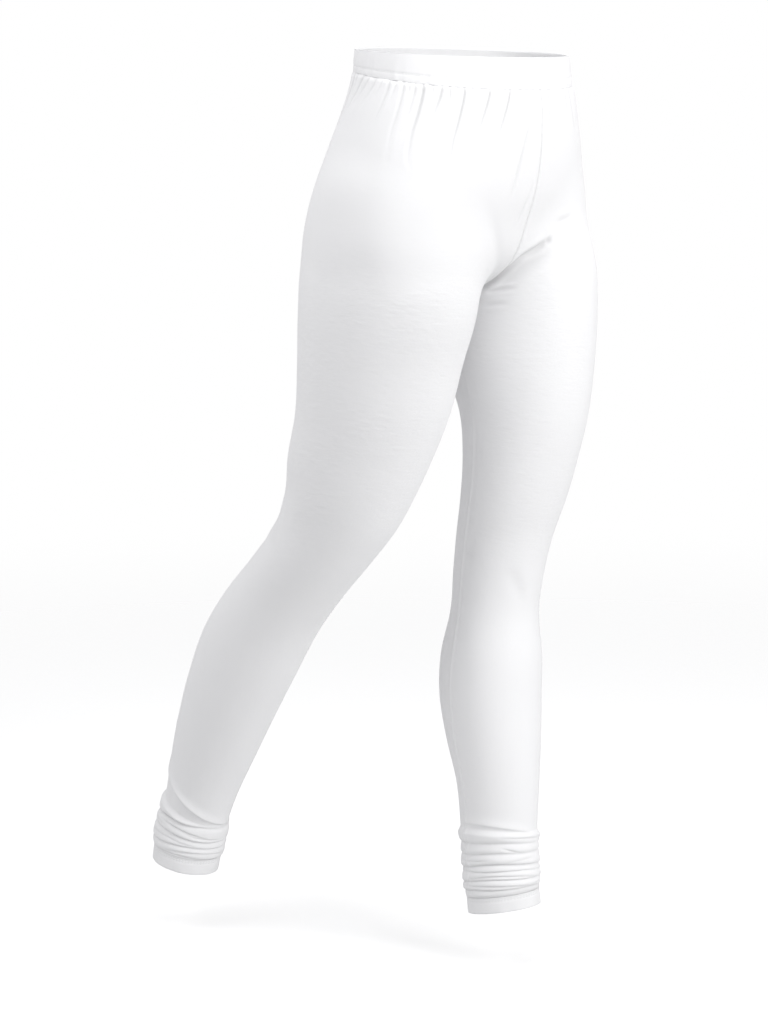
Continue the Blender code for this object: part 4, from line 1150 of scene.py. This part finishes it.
thread = threadMaterial("cottonThread")
for label, piece in panelPieces.items():
    knitted = clothMaterial(piece.name + "Knit", finish["panel"], finish["panelWrinkle"], finish["paintedHollowShade"])
    piece.data.materials.append(knitted)
    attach(piece, "root")
    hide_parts("leg_" + label)
knitted = clothMaterial("waistbandKnit", finish["band"], finish["bandWrinkle"], waleTurn=math.pi / 2)
bandPiece.data.materials.append(knitted)
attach(bandPiece, "root")
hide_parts("waistband")
bandStitches.data.materials.append(thread)
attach(bandStitches, "root")
for label, (piece, lines) in hemPieces.items():
    piece.data.materials.append(clothMaterial(piece.name + "Knit", finish["panel"], finish["hemWrinkle"]))
    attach(piece, "root")
    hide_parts("hem_" + label)
    hemStitches[label].data.materials.append(thread)
    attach(hemStitches[label], "root")
print("pieces ride the frame")

studio = {
    "floorHeight": -1.012,
    "floorRadius": 7.0,
    "floorSides": 96,
    "floorColour": (0.70, 0.70, 0.70),
    "floorRoughness": 0.9,
    "floorGlow": 0.42,
    "floorFade": (0.8, 3.2),    # distances from the middle between which the floor fades into the backdrop
    "ambient": (0.80, 0.80, 0.815),
    "ambientStrength": 0.63,
    "background": (1.0, 1.0, 1.0),
    "backgroundStrength": 1.0,
    # place, width, height, power, colour: aimed at the middle of the garment
    "lights": (
        ((-0.10, -2.45, 1.00), 1.6, 1.8, 54.0, (1.0, 0.998, 0.992)),
        ((-0.45, -0.25, 1.45), 1.3, 1.3, 12.0, (1.0, 1.0, 1.0)),
        ((-1.45, 0.40, 1.10), 1.0, 1.0, 8.5, (1.0, 1.0, 1.0)),
        ((-0.85, 1.35, 0.55), 1.0, 1.2, 4.5, (1.0, 1.0, 1.0)),
    ),
    "aim": (0.0, 0.12, -0.45),
    "camera": (-2.602, -1.924, 0.0312),
    "target": (-0.1114, 0.0219, -0.4693),
    "lens": 104.17,
    "sensor": 36.0,
}


# Mixes two shaders and gives the result to a tree's output.
def mixShaders(tree, share, first, second, output):
    mix = addNode(tree, "ShaderNodeMixShader", {0: share, 1: first, 2: second})
    setInputs(tree, tree.nodes[output], {"Surface": mix.outputs[0]})


# A round floor that glows a little for the camera and fades out with the distance from its middle.
def buildFloor():
    radius, sides = studio["floorRadius"], studio["floorSides"]
    angle = np.linspace(0.0, fullTurn, sides, endpoint=False)
    rim = np.stack([radius * np.cos(angle), radius * np.sin(angle), np.full(sides, studio["floorHeight"])], axis=-1)
    mesh = bpy.data.meshes.new("studioFloor")
    mesh.from_pydata(rim.tolist(), [], [list(range(sides))])
    floor = bpy.data.objects.new("studioFloor", mesh)
    bpy.context.scene.collection.objects.link(floor)
    inputs = {"Base Color": (*studio["floorColour"], 1.0), "Roughness": studio["floorRoughness"],
              "Emission Color": (1.0, 1.0, 1.0, 1.0)}
    material, tree, shader = newMaterial("paleFloor", inputs)
    seen = addNode(tree, "ShaderNodeLightPath", {}).outputs["Is Camera Ray"]
    setInputs(tree, shader, {"Emission Strength": mathNode(tree, "MULTIPLY", seen, studio["floorGlow"])})
    place = addNode(tree, "ShaderNodeTexCoord", {}).outputs["Object"]
    flat = addNode(tree, "ShaderNodeVectorMath", {0: place, 1: (1.0, 1.0, 0.0)}, operation="MULTIPLY").outputs[0]
    away = addNode(tree, "ShaderNodeVectorMath", {0: flat}, operation="LENGTH").outputs["Value"]
    clear = addNode(tree, "ShaderNodeBsdfTransparent", {}).outputs[0]
    mixShaders(tree, rampNode(tree, away, *studio["floorFade"]), shader.outputs[0], clear, "Material Output")
    mesh.materials.append(material)


# Soft light from all sides, with the backdrop seen only by the camera.
def buildWorld():
    world = bpy.data.worlds.new("softStudio")
    bpy.context.scene.world = world
    world.use_nodes = True
    tree = world.node_tree
    ambient = tree.nodes["Background"]
    setInputs(tree, ambient, {"Color": (*studio["ambient"], 1.0), "Strength": studio["ambientStrength"]})
    inputs = {"Color": (*studio["background"], 1.0), "Strength": studio["backgroundStrength"]}
    backdrop = addNode(tree, "ShaderNodeBackground", inputs).outputs[0]
    seen = addNode(tree, "ShaderNodeLightPath", {}).outputs["Is Camera Ray"]
    mixShaders(tree, seen, ambient.outputs[0], backdrop, "World Output")


# A lamp or a camera at a place, with its -Z pointed at a target and its Y up.
def aimObject(data, place, target):
    aimed = bpy.data.objects.new(data.name, data)
    aimed.location = place
    aimed.rotation_euler = (Vector(target) - Vector(place)).to_track_quat("-Z", "Y").to_euler()
    bpy.context.scene.collection.objects.link(aimed)
    return aimed


# The softboxes, the camera and plain colours, with no tone curve.
def buildLights():
    for number, (place, width, height, power, colour) in enumerate(studio["lights"]):
        light = bpy.data.lights.new("softbox" + str(number + 1), "AREA")
        light.shape = "RECTANGLE"
        light.size, light.size_y = width, height
        light.energy = power
        light.color = colour
        aimObject(light, place, studio["aim"])
    camera = bpy.data.cameras.new("studioCamera")
    camera.lens = studio["lens"]
    camera.sensor_width = studio["sensor"]
    camera.sensor_fit = "AUTO"
    scene = bpy.context.scene
    scene.camera = aimObject(camera, studio["camera"], studio["target"])
    view = scene.view_settings
    view.view_transform, view.look, view.exposure, view.gamma = "Standard", "None", 0.0, 1.0


buildFloor()
buildWorld()
buildLights()
print("studio ready")
